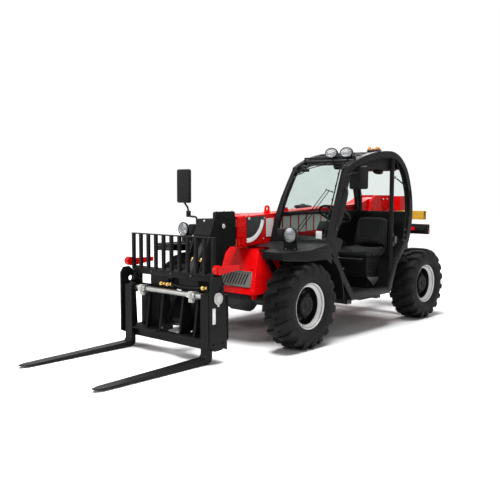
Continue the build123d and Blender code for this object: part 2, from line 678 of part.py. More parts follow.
def cab_slice(x_low, x_high, inset=0.0, mode=Mode.ADD):
    """The cab's side view, drawn inwards by an inset and extruded from x_low to x_high."""
    extrude(cab_outline(x_low, inset), amount=x_high - x_low, mode=mode)


side_pane_inset = cab_frame_bar + 20
with BuildPart() as side_opening:
    cab_slice(cab_right - 1, cab_right + cab_wall + 1, side_pane_inset)
    box((cab_right - 2, cab_right + cab_wall + 2), (0, cab_shoulder[0] + 200), (0, cab_belt), mode=Mode.SUBTRACT)

with BuildPart() as cab_frame:
    cab_slice(cab_right, cab_left)
    cab_slice(cab_right + cab_wall, door_x, cab_wall, mode=Mode.SUBTRACT)
    cab_slice(door_x - 1, cab_left + 1, cab_frame_bar, mode=Mode.SUBTRACT)
    box(window_x, (200, 830), (1015, 1745), mode=Mode.SUBTRACT)
    box(window_x, (1700, 2100), (cab_belt, 1760), mode=Mode.SUBTRACT)
    box(window_x, (830, 1690), (1800, 2000), mode=Mode.SUBTRACT)
    add(side_opening.part, mode=Mode.SUBTRACT)
    # door post
    rod((cab_left - 30, aft(1540), 430), (cab_left - 30, aft(1540), 1890), 25)
save(cab_frame.part, "cab_frame")

with BuildPart() as pane_ring:
    cab_slice(window_x[0] + seat_gap, window_x[1] - seat_gap, pane_inset)
    cab_slice(window_x[0], window_x[1], pane_inset + pane, mode=Mode.SUBTRACT)
panes = [
    # name, range behind the front axle, height range
    ("windscreen", (200, 830), (1015, 1745)),
    ("rear_window", (1700, 2100), (cab_belt, 1760)),
    ("roof_pane", (830, 1690), (1800, 2000)),
]
for name, behind_range, z_range in panes:
    with BuildPart() as window:
        box(window_x, [behind_range[0] + seat_gap, behind_range[1] - seat_gap],
            [z_range[0] + seat_gap, z_range[1] - seat_gap])
        add(pane_ring.part, mode=Mode.INTERSECT)
    save(window.part, name)

with BuildPart() as side_pane:
    cab_slice(cab_right + 14, cab_right + 14 + pane, side_pane_inset + seat_gap)
    box((cab_right, cab_right + cab_wall), (0, cab_shoulder[0] + 200), (0, cab_belt + seat_gap), mode=Mode.SUBTRACT)
save(side_pane.part, "side_window")

roof_bars = 7
roof_bar_front = 880.0
roof_bar_step = 120.0
roof_bar_width = 24.0
roof_bar_inset = 2.0
with BuildPart() as bar_ring:
    cab_slice(window_x[0] + seat_gap, window_x[1] - seat_gap, roof_bar_inset)
    cab_slice(window_x[0], window_x[1], pane_inset - seat_gap, mode=Mode.SUBTRACT)
with BuildPart() as roof_guard:
    for n in range(roof_bars):
        place = roof_bar_front + n * roof_bar_step
        box(window_x, (place, place + roof_bar_width), (1800, 2000))
    add(bar_ring.part, mode=Mode.INTERSECT)
save(roof_guard.part, "roof_guard")

# inside the cab
floor = cab_floor_height + cab_wall + seat_gap
inner_wall_x = cab_right + cab_wall + seat_gap
seat_top = 780.0
with BuildPart() as seat_base:
    side_plate([(1320, floor), (1440, floor), (1440, 545), (1490, 560), (1560, 700), (1630, seat_top),
                (1300, seat_top), (1300, 560), (1320, 545)], 270, 670)
save(seat_base.part, "seat_base")
cushion_top = 885.0
with BuildPart() as seat_cushion:
    side_plate([(1290, seat_top + seat_gap), (1636, seat_top + seat_gap), (1740, 878), (1740, cushion_top),
                (1330, cushion_top), (1270, 860), (1262, 810)], 240, 700)
save(seat_cushion.part, "seat_cushion")
with BuildPart() as seat_back:
    side_plate([(1652, cushion_top + seat_gap), (1740, cushion_top + seat_gap), (1800, 1215), (1775, 1240),
                (1735, 1240), (1715, 1215)], 250, 690)
save(seat_back.part, "seat_back")

steering_centre = (470.0, 960.0, 1265.0)
steering_tilt = 33.0
with BuildPart() as console:
    # dashboard under the windscreen, steering column, and the side console with its lever
    side_plate([(486, 800), (424, 900), (400, 1000), (560, 1046), (640, 1020), (640, 985), (560, 900), (545, 800)],
               inner_wall_x, door_x - seat_gap)
    side_plate([(775, floor), (870, floor), (850, 800), (926, 1170), (874, 1204), (760, 1060), (650, 800)], 425, 515)
    side_plate([(1080, 640), (1110, 850), (1600, 880), (1540, 640)], inner_wall_x, 236)
    rod((205, aft(1170), 850), (205, aft(1150), 960), 8)
    box((187, 223), (1130, 1166), (950, 990))
save(console.part, "console")
grip_radius = 170.0
with BuildPart() as rim_ring:
    with BuildSketch(Plane.XZ) as grip_section:
        with Locations((grip_radius, 0)):
            RegularPolygon(14, 6)
    revolve(axis=Axis.Z)

with BuildPart() as steering_wheel:
    column_way = Vector(0, sin(radians(steering_tilt)), cos(radians(steering_tilt)))
    wheel_centre = Vector(steering_centre[0], aft(steering_centre[1]), steering_centre[2])
    with Locations(Plane(origin=wheel_centre, z_dir=column_way)):
        add(rim_ring.part)
        with PolarLocations(0, 3):
            with Locations((85, 0, 0)):
                Box(170, 26, 9)
        Cylinder(38, 22)
    rod(tuple(wheel_centre), tuple(wheel_centre - column_way * (98.2 - seat_gap)), 20)
save(steering_wheel.part, "steering_wheel")

# ---------------------------------------------------------------- fenders
cab_front_at_fender = 333.0
arch_outer = 563.4
arch_inner = arch_outer - fender_skin
fender_edge = 880.0
cowl_front = 20.0
cowl_top = 998.0


def fender(rear_edge, cowl_rear=None):
    """Fender over the left front wheel; its top reaches back to rear_edge, with a cowl up to the windscreen."""
    with BuildPart() as shell:
        with BuildSketch(Plane.XY.offset(fender_top - fender_skin)) as plan:
            with BuildLine():
                Polyline((fender_edge, aft(-430)), (640, aft(-400)), (420, aft(-40)), (140, aft(160)),
                         (140, aft(rear_edge)), (fender_edge, aft(rear_edge)), close=True)
            make_face()
        extrude(amount=fender_skin)
        side_plate([(-430, fender_top - 1), (-430, 880), (-60, 850), (250, 850), (rear_edge, 800),
                    (rear_edge, fender_top - 1)], fender_edge - fender_skin, fender_edge)
        box((640, fender_edge - 2), (-430, -418), (885, fender_top - 1))
        if cowl_rear:
            side_plate([(cowl_front, fender_top - 1), (cowl_rear, fender_top - 1), (cowl_rear, cowl_top)],
                       140, fender_edge - 20)
        with BuildSketch(Plane.YZ.offset(350)) as arch:
            with Locations((aft(0), wheel_z)):
                Circle(arch_outer)
                Circle(arch_inner, mode=Mode.SUBTRACT)
            with Locations((aft(arch_outer / 2 + 80), (fender_top + wheel_z) / 2 - 3)):
                Rectangle(arch_outer, fender_top - wheel_z - 6, mode=Mode.INTERSECT)
        extrude(arch.sketch, amount=fender_edge - 350 - 1)
    return shell.part


save(fender(cab_front_at_fender - seat_gap, cab_chin[0] - seat_gap), "fender_left")
save(mirror(fender(hood_front - seat_gap), about=Plane.YZ), "fender_right")

# ---------------------------------------------------------------- engine and hood
hood_sill = hood_foot + seat_gap
hood_outline = [(hood_front + 160, hood_sill), (hood_front + 120, 560), (hood_front, 900), (hood_front, 1190),
                (hood_front + 80, hood_top), (hood_rear - 50, hood_top), (hood_rear, 1190), (hood_rear - 40, 950),
                (hood_rear - 390, 560), (hood_rear - 410, hood_sill)]
louvres = 7
louvre_pitch = 44.0
louvre_height = 20.0
louvre_low = 820.0
with BuildPart() as engine_hood:
    side_plate(hood_outline, hood_outer, hood_inner)
    with BuildSketch(Plane.YZ.offset(hood_outer + hood_skin)) as hood_room:
        with BuildLine():
            Polyline(side(hood_outline), close=True)
        make_face()
        offset(amount=-hood_skin, kind=Kind.INTERSECTION)
    extrude(hood_room.sketch, amount=hood_inner - hood_outer, mode=Mode.SUBTRACT)
    box((hood_outer + hood_skin, hood_inner + 1), (hood_front + 185, hood_rear - 430),
        (hood_foot - 10, hood_foot + 2 * hood_skin), mode=Mode.SUBTRACT)
    for n in range(louvres):
        place = louvre_low + n * louvre_pitch
        box((hood_outer - 1, hood_outer + hood_skin + 1), (hood_rear - 910, hood_rear - 390),
            (place, place + louvre_height), mode=Mode.SUBTRACT)
    # hinge straps, which turn on the pin beside the boom
    strap_run = rail_rear - rail_front
    for share in (0.2, 0.8):
        place = rail_front + share * strap_run
        rod((hinge_x, aft(place - 40), hinge_z), (hinge_x, aft(place + 40), hinge_z), hinge_knuckle_radius)
        box((hood_inner - 60, hinge_x), (place - 40, place + 40), (hood_top + 2, hood_top + 9))
        box((hood_inner - 60, hood_inner - 6), (place - 40, place + 40), (hood_top - 1, hood_top + 9))
    rod((hinge_x, aft(rail_front), hinge_z), (hinge_x, aft(rail_rear), hinge_z),
        hinge_pin_radius + running_fit, mode=Mode.SUBTRACT)
save(engine_hood.part, "engine_hood")
with BuildPart() as engine:
    box((-620, -190), (hood_front + 240, wheelbase - 740), (hood_foot + seat_gap, 1060))
save(engine.part, "engine")
cleaner_x = -500.0
cleaner_place = hood_rear - 419
with BuildPart() as precleaner:
    with BuildSketch(Plane.XZ.offset(-aft(cleaner_place))) as cleaner_section:
        with BuildLine():
            Polyline((cleaner_x, hood_top), (cleaner_x + 46, hood_top), (cleaner_x + 46, 1300),
                     (cleaner_x + 112, 1304), (cleaner_x + 112, 1330), (cleaner_x + 90, 1346),
                     (cleaner_x + 30, 1360), (cleaner_x, 1360), close=True)
        make_face()
    revolve(axis=Axis((cleaner_x, aft(cleaner_place), 0), (0, 0, 1)))
save(precleaner.part, "air_precleaner")

# ---------------------------------------------------------------- nose grille
grille_slots = 12
grille_thickness = 6.0
grille_low = 565.0
grille_high = 700.0


def nose_face_at(height):
    """Place of the nose's sloping front face at this height."""
    share = (height - nose_bottom) / (nose_top - nose_bottom)
    return nose_front + share * (80 - 65 - nose_front)


grille_foot = Vector(0, aft(nose_face_at(grille_low)), grille_low)
grille_head = Vector(0, aft(nose_face_at(grille_high)), grille_high)
grille_up = (grille_head - grille_foot).normalized()
grille_out = Vector(0, -grille_up.Z, grille_up.Y)
with BuildPart() as nose_grille:
    plate = Plane(origin=grille_foot + grille_out * seat_gap, x_dir=(1, 0, 0), z_dir=grille_out)
    length = (grille_head - grille_foot).length
    with BuildSketch(plate) as grille_plan:
        with BuildLine():
            Polyline((-305, 0), (305, 0), (245, length), (-245, length), close=True)
        make_face()
        with GridLocations(38, 1, grille_slots, 1):
            with Locations((0, length / 2)):
                Rectangle(20, length - 36, mode=Mode.SUBTRACT)
    extrude(amount=grille_thickness)
save(nose_grille.part, "nose_grille")

# ---------------------------------------------------------------- rear
tow_pin_radius = 16.0
tow_pin_place = rear_reach - 45
tow_pin_top = 700.0
tow_slot_half_width = 75.0
tow_slot = (560.0, 640.0)    # its height range
ballast_half_width = 360.0
with BuildPart() as counterweight:
    box((-ballast_half_width, ballast_half_width), (counterweight_front + seat_gap, rear_reach),
        (rear_foot, ballast_top - seat_gap))
    fillet(counterweight.edges().filter_by(Axis.Z).group_by(Axis.Y)[-1], 60)
    box((-tow_slot_half_width, tow_slot_half_width), (rear_reach - 100, rear_reach + 1), tow_slot,
        mode=Mode.SUBTRACT)
    with Locations((0, aft(tow_pin_place), rear_foot - 1)):
        Cylinder(tow_pin_radius, tow_pin_top - rear_foot + 1, align=(Align.CENTER, Align.CENTER, Align.MIN),
                 mode=Mode.SUBTRACT)
save(counterweight.part, "counterweight")
lamp_front = counterweight_front + lamp_bar_back + seat_gap
with BuildPart() as tail_lamps:
    for sign in (1, -1):
        box(sorted((sign * 500, sign * 700)), (lamp_front, lamp_front + 58), (1010, 1095))
save(tail_lamps.part, "tail_lamps")
prop_top = 1275 - seat_gap
prop_wall = 8.0
with BuildPart() as safety_prop:
    box((215, 615), (rear_reach - 130, rear_reach - 60), (1165, prop_top))
    box((215 + prop_wall, 616), (rear_reach - 130 + prop_wall, rear_reach - 60 - prop_wall),
        (1164, prop_top - prop_wall), mode=Mode.SUBTRACT)
save(safety_prop.part, "safety_prop")

# ---------------------------------------------------------------- lamps and mirrors
with BuildPart() as headlamps:
    for sign in (1, -1):
        cross = sorted((sign * 597, sign * 683))
        box(cross, (-150, -60), (1035, 1160))
        with Locations(Plane(origin=(sign * 750, aft(-75), 1098), z_dir=(0, -1, 0))):
            Cylinder(62, 85, align=(Align.CENTER, Align.CENTER, Align.MIN))
        box(sorted((sign * 640, sign * 760)), (-115, -103), (fender_top + seat_gap, 1050))
save(headlamps.part, "headlamps")
rail_place = 818.0
rail_radius = 9.0
lamp_rail_height = roof_height_at(rail_place) + 26
with BuildPart() as work_lamps:
    rod((cab_right + 40, aft(rail_place), lamp_rail_height), (cab_left - 40, aft(rail_place), lamp_rail_height),
        rail_radius)
    for x in (cab_right + 50, cab_left - 50):
        side_plate([(rail_place - 10, roof_height_at(rail_place - 10) + seat_gap),
                    (rail_place + 10, roof_height_at(rail_place + 10) + seat_gap),
                    (rail_place + 10, lamp_rail_height), (rail_place - 10, lamp_rail_height)], x - 8, x + 8)
    for x in (510, 693):
        with Locations(Plane(origin=(x, aft(830), 1915), z_dir=(0, -1, 0))):
            Cylinder(46, 60, align=(Align.CENTER, Align.CENTER, Align.MIN))
        side_plate([(780, roof_height_at(780) + seat_gap), (805, roof_height_at(805) + seat_gap), (805, 1890),
                    (780, 1890)], x - 12, x + 12)
save(work_lamps.part, "work_lamps")
beacon_bar = 4               # the roof bar that carries the beacon
beacon_front = roof_bar_front + beacon_bar * roof_bar_step
with BuildPart() as beacon:
    beacon_foot = roof_height_at(beacon_front + roof_bar_width) - roof_bar_inset + seat_gap
    with Locations((700, aft(beacon_front + roof_bar_width / 2), beacon_foot)):
        Cylinder(56, 16, align=(Align.CENTER, Align.CENTER, Align.MIN))
        Cylinder(48, 58, align=(Align.CENTER, Align.CENTER, Align.MIN))
save(beacon.part, "beacon")
with BuildPart() as mirrors:
    with Locations((850, aft(861), 1655)):
        Box(170, 46, 240)
    rod((cab_left + 9 + seat_gap, aft(596), 1668), (cab_left + 9 + seat_gap, aft(861), 1668), 9)
    with Locations((-700, aft(-165), 1573)):
        Box(145, 46, 360)
    rod((-520, aft(-150), fender_top + seat_gap), (-520, aft(-150), 1240), 12)
    rod((-520, aft(-150), 1228), (-640, aft(-150), 1240), 12)
    rod((-632, aft(-150), 1232), (-690, aft(-160), 1400), 12)
save(mirrors.part, "mirrors")
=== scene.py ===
from math import atan2, cos, pi, radians, sin

import bmesh
import bpy
from mathutils import Matrix, Vector


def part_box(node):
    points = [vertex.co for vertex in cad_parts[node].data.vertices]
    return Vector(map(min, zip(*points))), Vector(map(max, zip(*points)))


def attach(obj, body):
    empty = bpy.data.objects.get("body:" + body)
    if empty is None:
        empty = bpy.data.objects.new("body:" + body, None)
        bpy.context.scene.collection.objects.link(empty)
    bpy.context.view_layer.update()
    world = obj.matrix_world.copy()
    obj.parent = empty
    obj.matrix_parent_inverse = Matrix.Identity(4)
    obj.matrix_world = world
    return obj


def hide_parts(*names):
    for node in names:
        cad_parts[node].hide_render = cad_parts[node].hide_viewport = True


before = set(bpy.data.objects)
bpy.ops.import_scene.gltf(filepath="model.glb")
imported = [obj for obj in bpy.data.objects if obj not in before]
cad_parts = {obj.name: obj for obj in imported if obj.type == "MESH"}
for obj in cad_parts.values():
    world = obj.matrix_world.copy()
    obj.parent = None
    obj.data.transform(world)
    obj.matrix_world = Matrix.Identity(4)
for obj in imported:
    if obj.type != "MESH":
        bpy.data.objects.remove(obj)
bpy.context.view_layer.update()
lowRim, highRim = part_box("rim_front_left")
frontAxleY = (lowRim[1] + highRim[1]) / 2
bothSides = (("left", 1), ("right", -1))
print("frame loaded:", len(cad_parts), "nodes")


def at(x, behind, z):  # a place counted from the front axle, rearwards
    return Vector((x, frontAxleY + behind, z))


# camera, lamps and floor
camera = {"place": (4.743, -5.212, 1.492), "yaw": 41.68, "pitch": 4.75, "roll": 0.24, "lens": 49.49}
cameraData = bpy.data.cameras.new("camera")
cameraData.lens = camera["lens"]
cameraData.sensor_width = 36
cameraData.clip_end = 200
cameraObject = bpy.data.objects.new("camera", cameraData)
bpy.context.scene.collection.objects.link(cameraObject)
turn = (Matrix.Rotation(radians(camera["yaw"]), 4, "Z") @ Matrix.Rotation(radians(90 - camera["pitch"]), 4,
    "X") @ Matrix.Rotation(radians(camera["roll"]), 4, "Z"))
cameraObject.matrix_world = Matrix.Translation(at(*camera["place"])) @ turn
bpy.context.scene.camera = cameraObject
bpy.context.scene.view_settings.view_transform = "Standard"

lamps = {
    # name: place, target, size, watts
    "overhead": ((0.3, -0.3, 6.5), (0, 0, 0.6), 5, 1180),
    "frontLeft": ((6, -5.5, 4.2), (0, 0, 0.7), 4.5, 160),
    "frontRight": ((-4.5, -6.5, 3.6), (0, -0.6, 0.7), 4, 160),
    "rear": ((-2, 7.5, 4.5), (0, 0.5, 0.8), 4, 170),
}
for name, (place, target, size, watts) in lamps.items():
    light = bpy.data.lights.new(name, "AREA")
    light.shape = "DISK"
    light.size = size
    light.energy = watts
    lampObject = bpy.data.objects.new(name, light)
    bpy.context.scene.collection.objects.link(lampObject)
    aim = (Vector(target) - Vector(place)).to_track_quat("-Z", "Y")
    lampObject.matrix_world = Matrix.Translation(Vector(place)) @ aim.to_matrix().to_4x4()


def link(source, target):
    source.id_data.links.new(source, target)


def node(tree, kind, **values):
    made = tree.nodes.new(kind)
    for key, value in values.items():
        if key in made.inputs:
            made.inputs[key].default_value = value
        else:
            setattr(made, key, value)
    return made


def spread(tree, value, low, high, fromLow=0.3, fromHigh=0.7):
    # a value moved from one range to another
    ends = {"From Min": fromLow, "From Max": fromHigh, "To Min": low, "To Max": high}
    made = node(tree, "ShaderNodeMapRange", **ends)
    link(value, made.inputs["Value"])
    return made.outputs[0]


def maths(tree, operation, first, second):
    made = node(tree, "ShaderNodeMath", operation=operation)
    link(first, made.inputs[0])
    link(second, made.inputs[1])
    return made.outputs[0]


def setUpWorld(strength):
    # white where it is seen, weaker as a light
    world = bpy.data.worlds.new("studio")
    bpy.context.scene.world = world
    world.use_nodes = True
    tree = world.node_tree
    tree.nodes.clear()
    path = node(tree, "ShaderNodeLightPath")
    seen = maths(tree, "MAXIMUM", path.outputs["Is Camera Ray"], path.outputs["Is Transmission Ray"])
    seen = maths(tree, "MAXIMUM", seen, path.outputs["Is Glossy Ray"])
    back = node(tree, "ShaderNodeBackground", Color=(1, 1, 1, 1))
    link(spread(tree, seen, strength, 1, 0, 1), back.inputs["Strength"])
    out = node(tree, "ShaderNodeOutputWorld")
    link(back.outputs[0], out.inputs["Surface"])


def setUpFloor(size=80, near=0, far=0.9, glowFrom=2.4, glowTo=7.5):
    bpy.ops.mesh.primitive_grid_add(x_subdivisions=4, y_subdivisions=4, size=size, location=(0, 0, -0.0005))
    floor = bpy.context.active_object
    floor.name = "floor"
    bpy.ops.object.transform_apply(location=True, rotation=True, scale=True)
    material = bpy.data.materials.new("paleFloor")
    material.use_nodes = True
    tree = material.node_tree
    tree.nodes.clear()
    matt = node(tree, "ShaderNodeBsdfDiffuse", Color=(0.82, 0.82, 0.82, 1))
    path = node(tree, "ShaderNodeLightPath")
    seen = maths(tree, "MAXIMUM", path.outputs["Is Camera Ray"], path.outputs["Is Glossy Ray"])
    # the floor glows more the further it is from the machine, so the shadow keeps its depth
    spot = node(tree, "ShaderNodeTexCoord")
    away = node(tree, "ShaderNodeVectorMath", operation="LENGTH")
    link(spot.outputs["Object"], away.inputs[0])
    reach = spread(tree, away.outputs["Value"], near, far, glowFrom, glowTo)
    shine = node(tree, "ShaderNodeEmission", Color=(1, 1, 1, 1))
    link(maths(tree, "MULTIPLY", seen, reach), shine.inputs["Strength"])
    both = node(tree, "ShaderNodeAddShader")
    link(matt.outputs[0], both.inputs[0])
    link(shine.outputs[0], both.inputs[1])
    out = node(tree, "ShaderNodeOutputMaterial")
    link(both.outputs[0], out.inputs["Surface"])
    floor.data.materials.append(material)


bpy.ops.object.select_all(action="DESELECT")
setUpWorld(0.16)
setUpFloor()
print("camera, lamps and floor set")


# finishes
def startMaterial(name):
    material = bpy.data.materials.new(name)
    material.use_nodes = True
    tree = material.node_tree
    tree.nodes.clear()
    out = node(tree, "ShaderNodeOutputMaterial")
    shader = node(tree, "ShaderNodeBsdfPrincipled")
    link(shader.outputs[0], out.inputs["Surface"])
    place = node(tree, "ShaderNodeTexCoord")
    return material, tree, shader, place.outputs["Object"]


def noise(tree, where, scale, detail=3, roughness=0.55):
    made = node(tree, "ShaderNodeTexNoise", Scale=scale, Detail=detail, Roughness=roughness)
    link(where, made.inputs["Vector"])
    return made.outputs["Fac"]


def ramp(tree, value, low, high, lowPlace=0.3, highPlace=0.7):
    made = node(tree, "ShaderNodeValToRGB")
    made.color_ramp.elements[0].position = lowPlace
    made.color_ramp.elements[1].position = highPlace
    made.color_ramp.elements[0].color = (*low, 1)
    made.color_ramp.elements[1].color = (*high, 1)
    link(value, made.inputs["Fac"])
    return made.outputs["Color"]


def bump(tree, shader, height, strength, distance, edge=0):
    made = node(tree, "ShaderNodeBump", Strength=strength, Distance=distance)
    link(height, made.inputs["Height"])
    if edge:
        soft = node(tree, "ShaderNodeBevel", Radius=edge, samples=4)
        link(soft.outputs[0], made.inputs["Normal"])
    link(made.outputs[0], shader.inputs["Normal"])


def mixColour(tree, factor, first, second):
    made = node(tree, "ShaderNodeMix", data_type="RGBA")
    link(factor, made.inputs[0])
    link(first, made.inputs[6])
    link(second, made.inputs[7])
    return made.outputs[2]


def paint(name, colour, deep, rough=(0.3, 0.42), grain=0.12, coat=0, edge=0, dust=(0.12, 0.115, 0.11),
        dusty=0.03, sheen=0.5):
    # sprayed steel: cloudy colour, orange peel, and a little dust low down
    material, tree, shader, where = startMaterial(name)
    cloud = noise(tree, where, 2.3, 4)
    base = ramp(tree, cloud, deep, colour)
    fine = noise(tree, where, 38, 5, 0.65)
    split = node(tree, "ShaderNodeSeparateXYZ")
    link(where, split.inputs[0])
    low = spread(tree, split.outputs["Z"], dusty, 0, 0.1, 1.1)
    specks = spread(tree, fine, 0, 1, 0.45, 0.75)
    dirt = maths(tree, "MULTIPLY", low, specks)
    film = node(tree, "ShaderNodeRGB")
    film.outputs[0].default_value = (*dust, 1)
    link(mixColour(tree, dirt, base, film.outputs[0]), shader.inputs["Base Color"])
    link(spread(tree, noise(tree, where, 9, 4), *rough), shader.inputs["Roughness"])
    shader.inputs["Coat Weight"].default_value = coat
    shader.inputs["Coat Roughness"].default_value = 0.12
    shader.inputs["Specular IOR Level"].default_value = sheen
    bump(tree, shader, noise(tree, where, 420, 2), grain, 0.0006, edge)
    return material


def bareMetal(name, colour, rough=(0.22, 0.4), scratch=0.15, metallic=1, edge=0):
    # machined or cast metal with fine lines and stains
    material, tree, shader, where = startMaterial(name)
    stain = noise(tree, where, 7, 5, 0.6)
    link(ramp(tree, stain, [0.72 * c for c in colour], colour), shader.inputs["Base Color"])
    shader.inputs["Metallic"].default_value = metallic
    stretch = node(tree, "ShaderNodeMapping", Scale=(6, 60, 60))
    link(where, stretch.inputs["Vector"])
    lines = noise(tree, stretch.outputs[0], 9, 4)
    link(spread(tree, lines, *rough), shader.inputs["Roughness"])
    bump(tree, shader, lines, scratch, 0.0004, edge)
    return material


def moulded(name, colour, rough=(0.45, 0.6), grain=0.3, scale=900, edge=0, sheen=0.35):
    # moulded plastic or rubber with a fine grain
    material, tree, shader, where = startMaterial(name)
    cloud = noise(tree, where, 5, 4)
    link(ramp(tree, cloud, [0.8 * c for c in colour], [1.15 * c for c in colour]),
        shader.inputs["Base Color"])
    link(spread(tree, noise(tree, where, 24, 4), *rough), shader.inputs["Roughness"])
    shader.inputs["Specular IOR Level"].default_value = sheen
    bump(tree, shader, noise(tree, where, scale, 2), grain, 0.0005, edge)
    return material


def tyreRubber():
    material, tree, shader, where = startMaterial("tyreRubber")
    cloud = noise(tree, where, 11, 5, 0.6)
    clean = ramp(tree, cloud, (0.0045, 0.0045, 0.0048), (0.009, 0.009, 0.0093))
    dust = node(tree, "ShaderNodeRGB")
    dust.outputs[0].default_value = (0.024, 0.023, 0.022, 1)
    patch = spread(tree, noise(tree, where, 60, 4, 0.7), 0, 0.45, 0.52, 0.78)
    link(mixColour(tree, patch, clean, dust.outputs[0]), shader.inputs["Base Color"])
    link(spread(tree, cloud, 0.55, 0.78), shader.inputs["Roughness"])
    shader.inputs["Specular IOR Level"].default_value = 0.11
    bump(tree, shader, noise(tree, where, 230, 4), 0.35, 0.0012)
    return material


def clearGlass(name, colour, rough=0.02):
    material, tree, shader, where = startMaterial(name)
    smear = noise(tree, where, 4, 4)
    link(ramp(tree, smear, [0.94 * c for c in colour], colour), shader.inputs["Base Color"])
    link(spread(tree, noise(tree, where, 14, 3), rough, rough + 0.03), shader.inputs["Roughness"])
    shader.inputs["Transmission Weight"].default_value = 1
    shader.inputs["IOR"].default_value = 1.05
    bump(tree, shader, noise(tree, where, 3, 2), 0.02, 0.001)
    return material


def litLens(name, colour, transmission=0.5, rough=(0.06, 0.14), ribs=180):
    material, tree, shader, where = startMaterial(name)
    wave = node(tree, "ShaderNodeTexWave", Scale=ribs / 10, Distortion=0.4)
    link(where, wave.inputs["Vector"])
    link(ramp(tree, wave.outputs["Fac"], [0.78 * c for c in colour], colour), shader.inputs["Base Color"])
    link(spread(tree, noise(tree, where, 30, 3), *rough), shader.inputs["Roughness"])
    shader.inputs["Transmission Weight"].default_value = transmission
    shader.inputs["Coat Weight"].default_value = 0.6
    bump(tree, shader, wave.outputs["Fac"], 0.25, 0.001)
    return material


def seatCloth():
    material, tree, shader, where = startMaterial("seatCloth")
    weft = node(tree, "ShaderNodeTexWave", Scale=170, Distortion=0.6)
    warp = node(tree, "ShaderNodeTexWave", Scale=170, Distortion=0.6, bands_direction="Y")
    link(where, weft.inputs["Vector"])
    link(where, warp.inputs["Vector"])
    weave = maths(tree, "MULTIPLY", weft.outputs["Fac"], warp.outputs["Fac"])
    cloud = noise(tree, where, 8, 4)
    mixed = mixColour(tree, weave, ramp(tree, cloud, (0.006, 0.006, 0.0065), (0.01, 0.01, 0.011)),
        ramp(tree, cloud, (0.013, 0.013, 0.014), (0.02, 0.02, 0.021)))
    link(mixed, shader.inputs["Base Color"])
    link(spread(tree, cloud, 0.7, 0.85), shader.inputs["Roughness"])
    shader.inputs["Sheen Weight"].default_value = 0.04
    shader.inputs["Specular IOR Level"].default_value = 0.15
    bump(tree, shader, weave, 0.4, 0.0008)
    return material


# the soft ones round the sharp edges of the CAD meshes in the shading
redCoat = ((0.56, 0.002, 0.003), (0.5, 0.0012, 0.002), (0.24, 0.34), 0.1, 0.06)
blackCoat = ((0.0062, 0.0062, 0.0066), (0.0044, 0.0044, 0.0047), (0.28, 0.42), 0.12, 0)
softEdge = 0.004
finish = {
    "red": paint("redPaint", *redCoat, dusty=0.02, sheen=0.12),
    "redSoft": paint("redPaintCad", *redCoat, softEdge, dusty=0.02, sheen=0.12),
    "black": paint("blackPaint", *blackCoat, sheen=0.08),
    "blackSoft": paint("blackPaintCad", *blackCoat, softEdge, sheen=0.08),
    "grey": paint("greyPaint", (0.022, 0.022, 0.023), (0.014, 0.014, 0.015), (0.4, 0.55), 0.2, 0, 0.003,
                  sheen=0.18),
    "yellow": paint("yellowPaint", (0.43, 0.25, 0.022), (0.36, 0.2, 0.014), (0.3, 0.42), 0.12, 0.1, 0.003),
    "silver": paint("silverPaint", (0.56, 0.56, 0.55), (0.42, 0.42, 0.42), (0.28, 0.4), 0.12, 0.15, 0,
                    (0.2, 0.18, 0.15), 0.35),
    "palePaint": paint("palePaint", (0.5, 0.5, 0.48), (0.4, 0.4, 0.38), (0.35, 0.5), 0.12, 0.05, dusty=0.06),
    "panelPale": paint("panelPale", (0.62, 0.55, 0.54), (0.56, 0.5, 0.49), (0.3, 0.42), 0.08, 0.05),
    "grilleGrey": paint("grilleGrey", (0.115, 0.107, 0.098), (0.075, 0.07, 0.064), (0.4, 0.55), 0.15, 0,
                        0.002, dusty=0.25),
    "steel": bareMetal("brightSteel", (0.34, 0.34, 0.33), (0.3, 0.45)),
    "chrome": bareMetal("chromedRod", (0.75, 0.76, 0.77), (0.08, 0.16), 0.05),
    "cast": bareMetal("castIron", (0.045, 0.045, 0.047), (0.5, 0.7), 0.5, 0.5, 0.003),
    "brass": bareMetal("brassFitting", (0.72, 0.48, 0.16), (0.25, 0.4), 0.2),
    "zinc": bareMetal("zincBolt", (0.66, 0.65, 0.6), (0.3, 0.45), 0.2),
    "plastic": moulded("blackPlastic", (0.0065, 0.0065, 0.0068), edge=0.002, sheen=0.12),
    "hose": moulded("blackHose", (0.01, 0.01, 0.0105), (0.5, 0.65), 0.4, 500, sheen=0.2),
    "gasket": moulded("rubberGasket", (0.006, 0.006, 0.006), (0.55, 0.7), 0.2, 700, sheen=0.15),
    "label": moulded("blankLabel", (0.62, 0.62, 0.6), (0.4, 0.5), 0.08, 300),
    "dialFace": moulded("dialFace", (0.018, 0.018, 0.02), (0.3, 0.4), 0.08, 300),
    "dialMark": moulded("dialMark", (0.8, 0.8, 0.78), (0.35, 0.45), 0.05, 300),
    "tyre": tyreRubber(),
    "glass": clearGlass("tintedGlass", (0.8, 0.86, 0.84)),
    "mirror": bareMetal("mirrorGlass", (0.8, 0.82, 0.84), (0.02, 0.05), 0),
    "lens": litLens("clearLens", (0.62, 0.64, 0.66), 0.8),
    "reflector": bareMetal("reflector", (0.55, 0.55, 0.56), (0.12, 0.25), 0.1),
    "amber": litLens("amberLens", (0.5, 0.17, 0.02), 0.2),
    "tailRed": litLens("tailLens", (0.42, 0.012, 0.012), 0.2),
    "tailAmber": litLens("turnLens", (0.75, 0.25, 0.02), 0.2),
    "cloth": seatCloth(),
}


def setFinish(obj, material):
    obj.data.materials.clear()
    obj.data.materials.append(material)


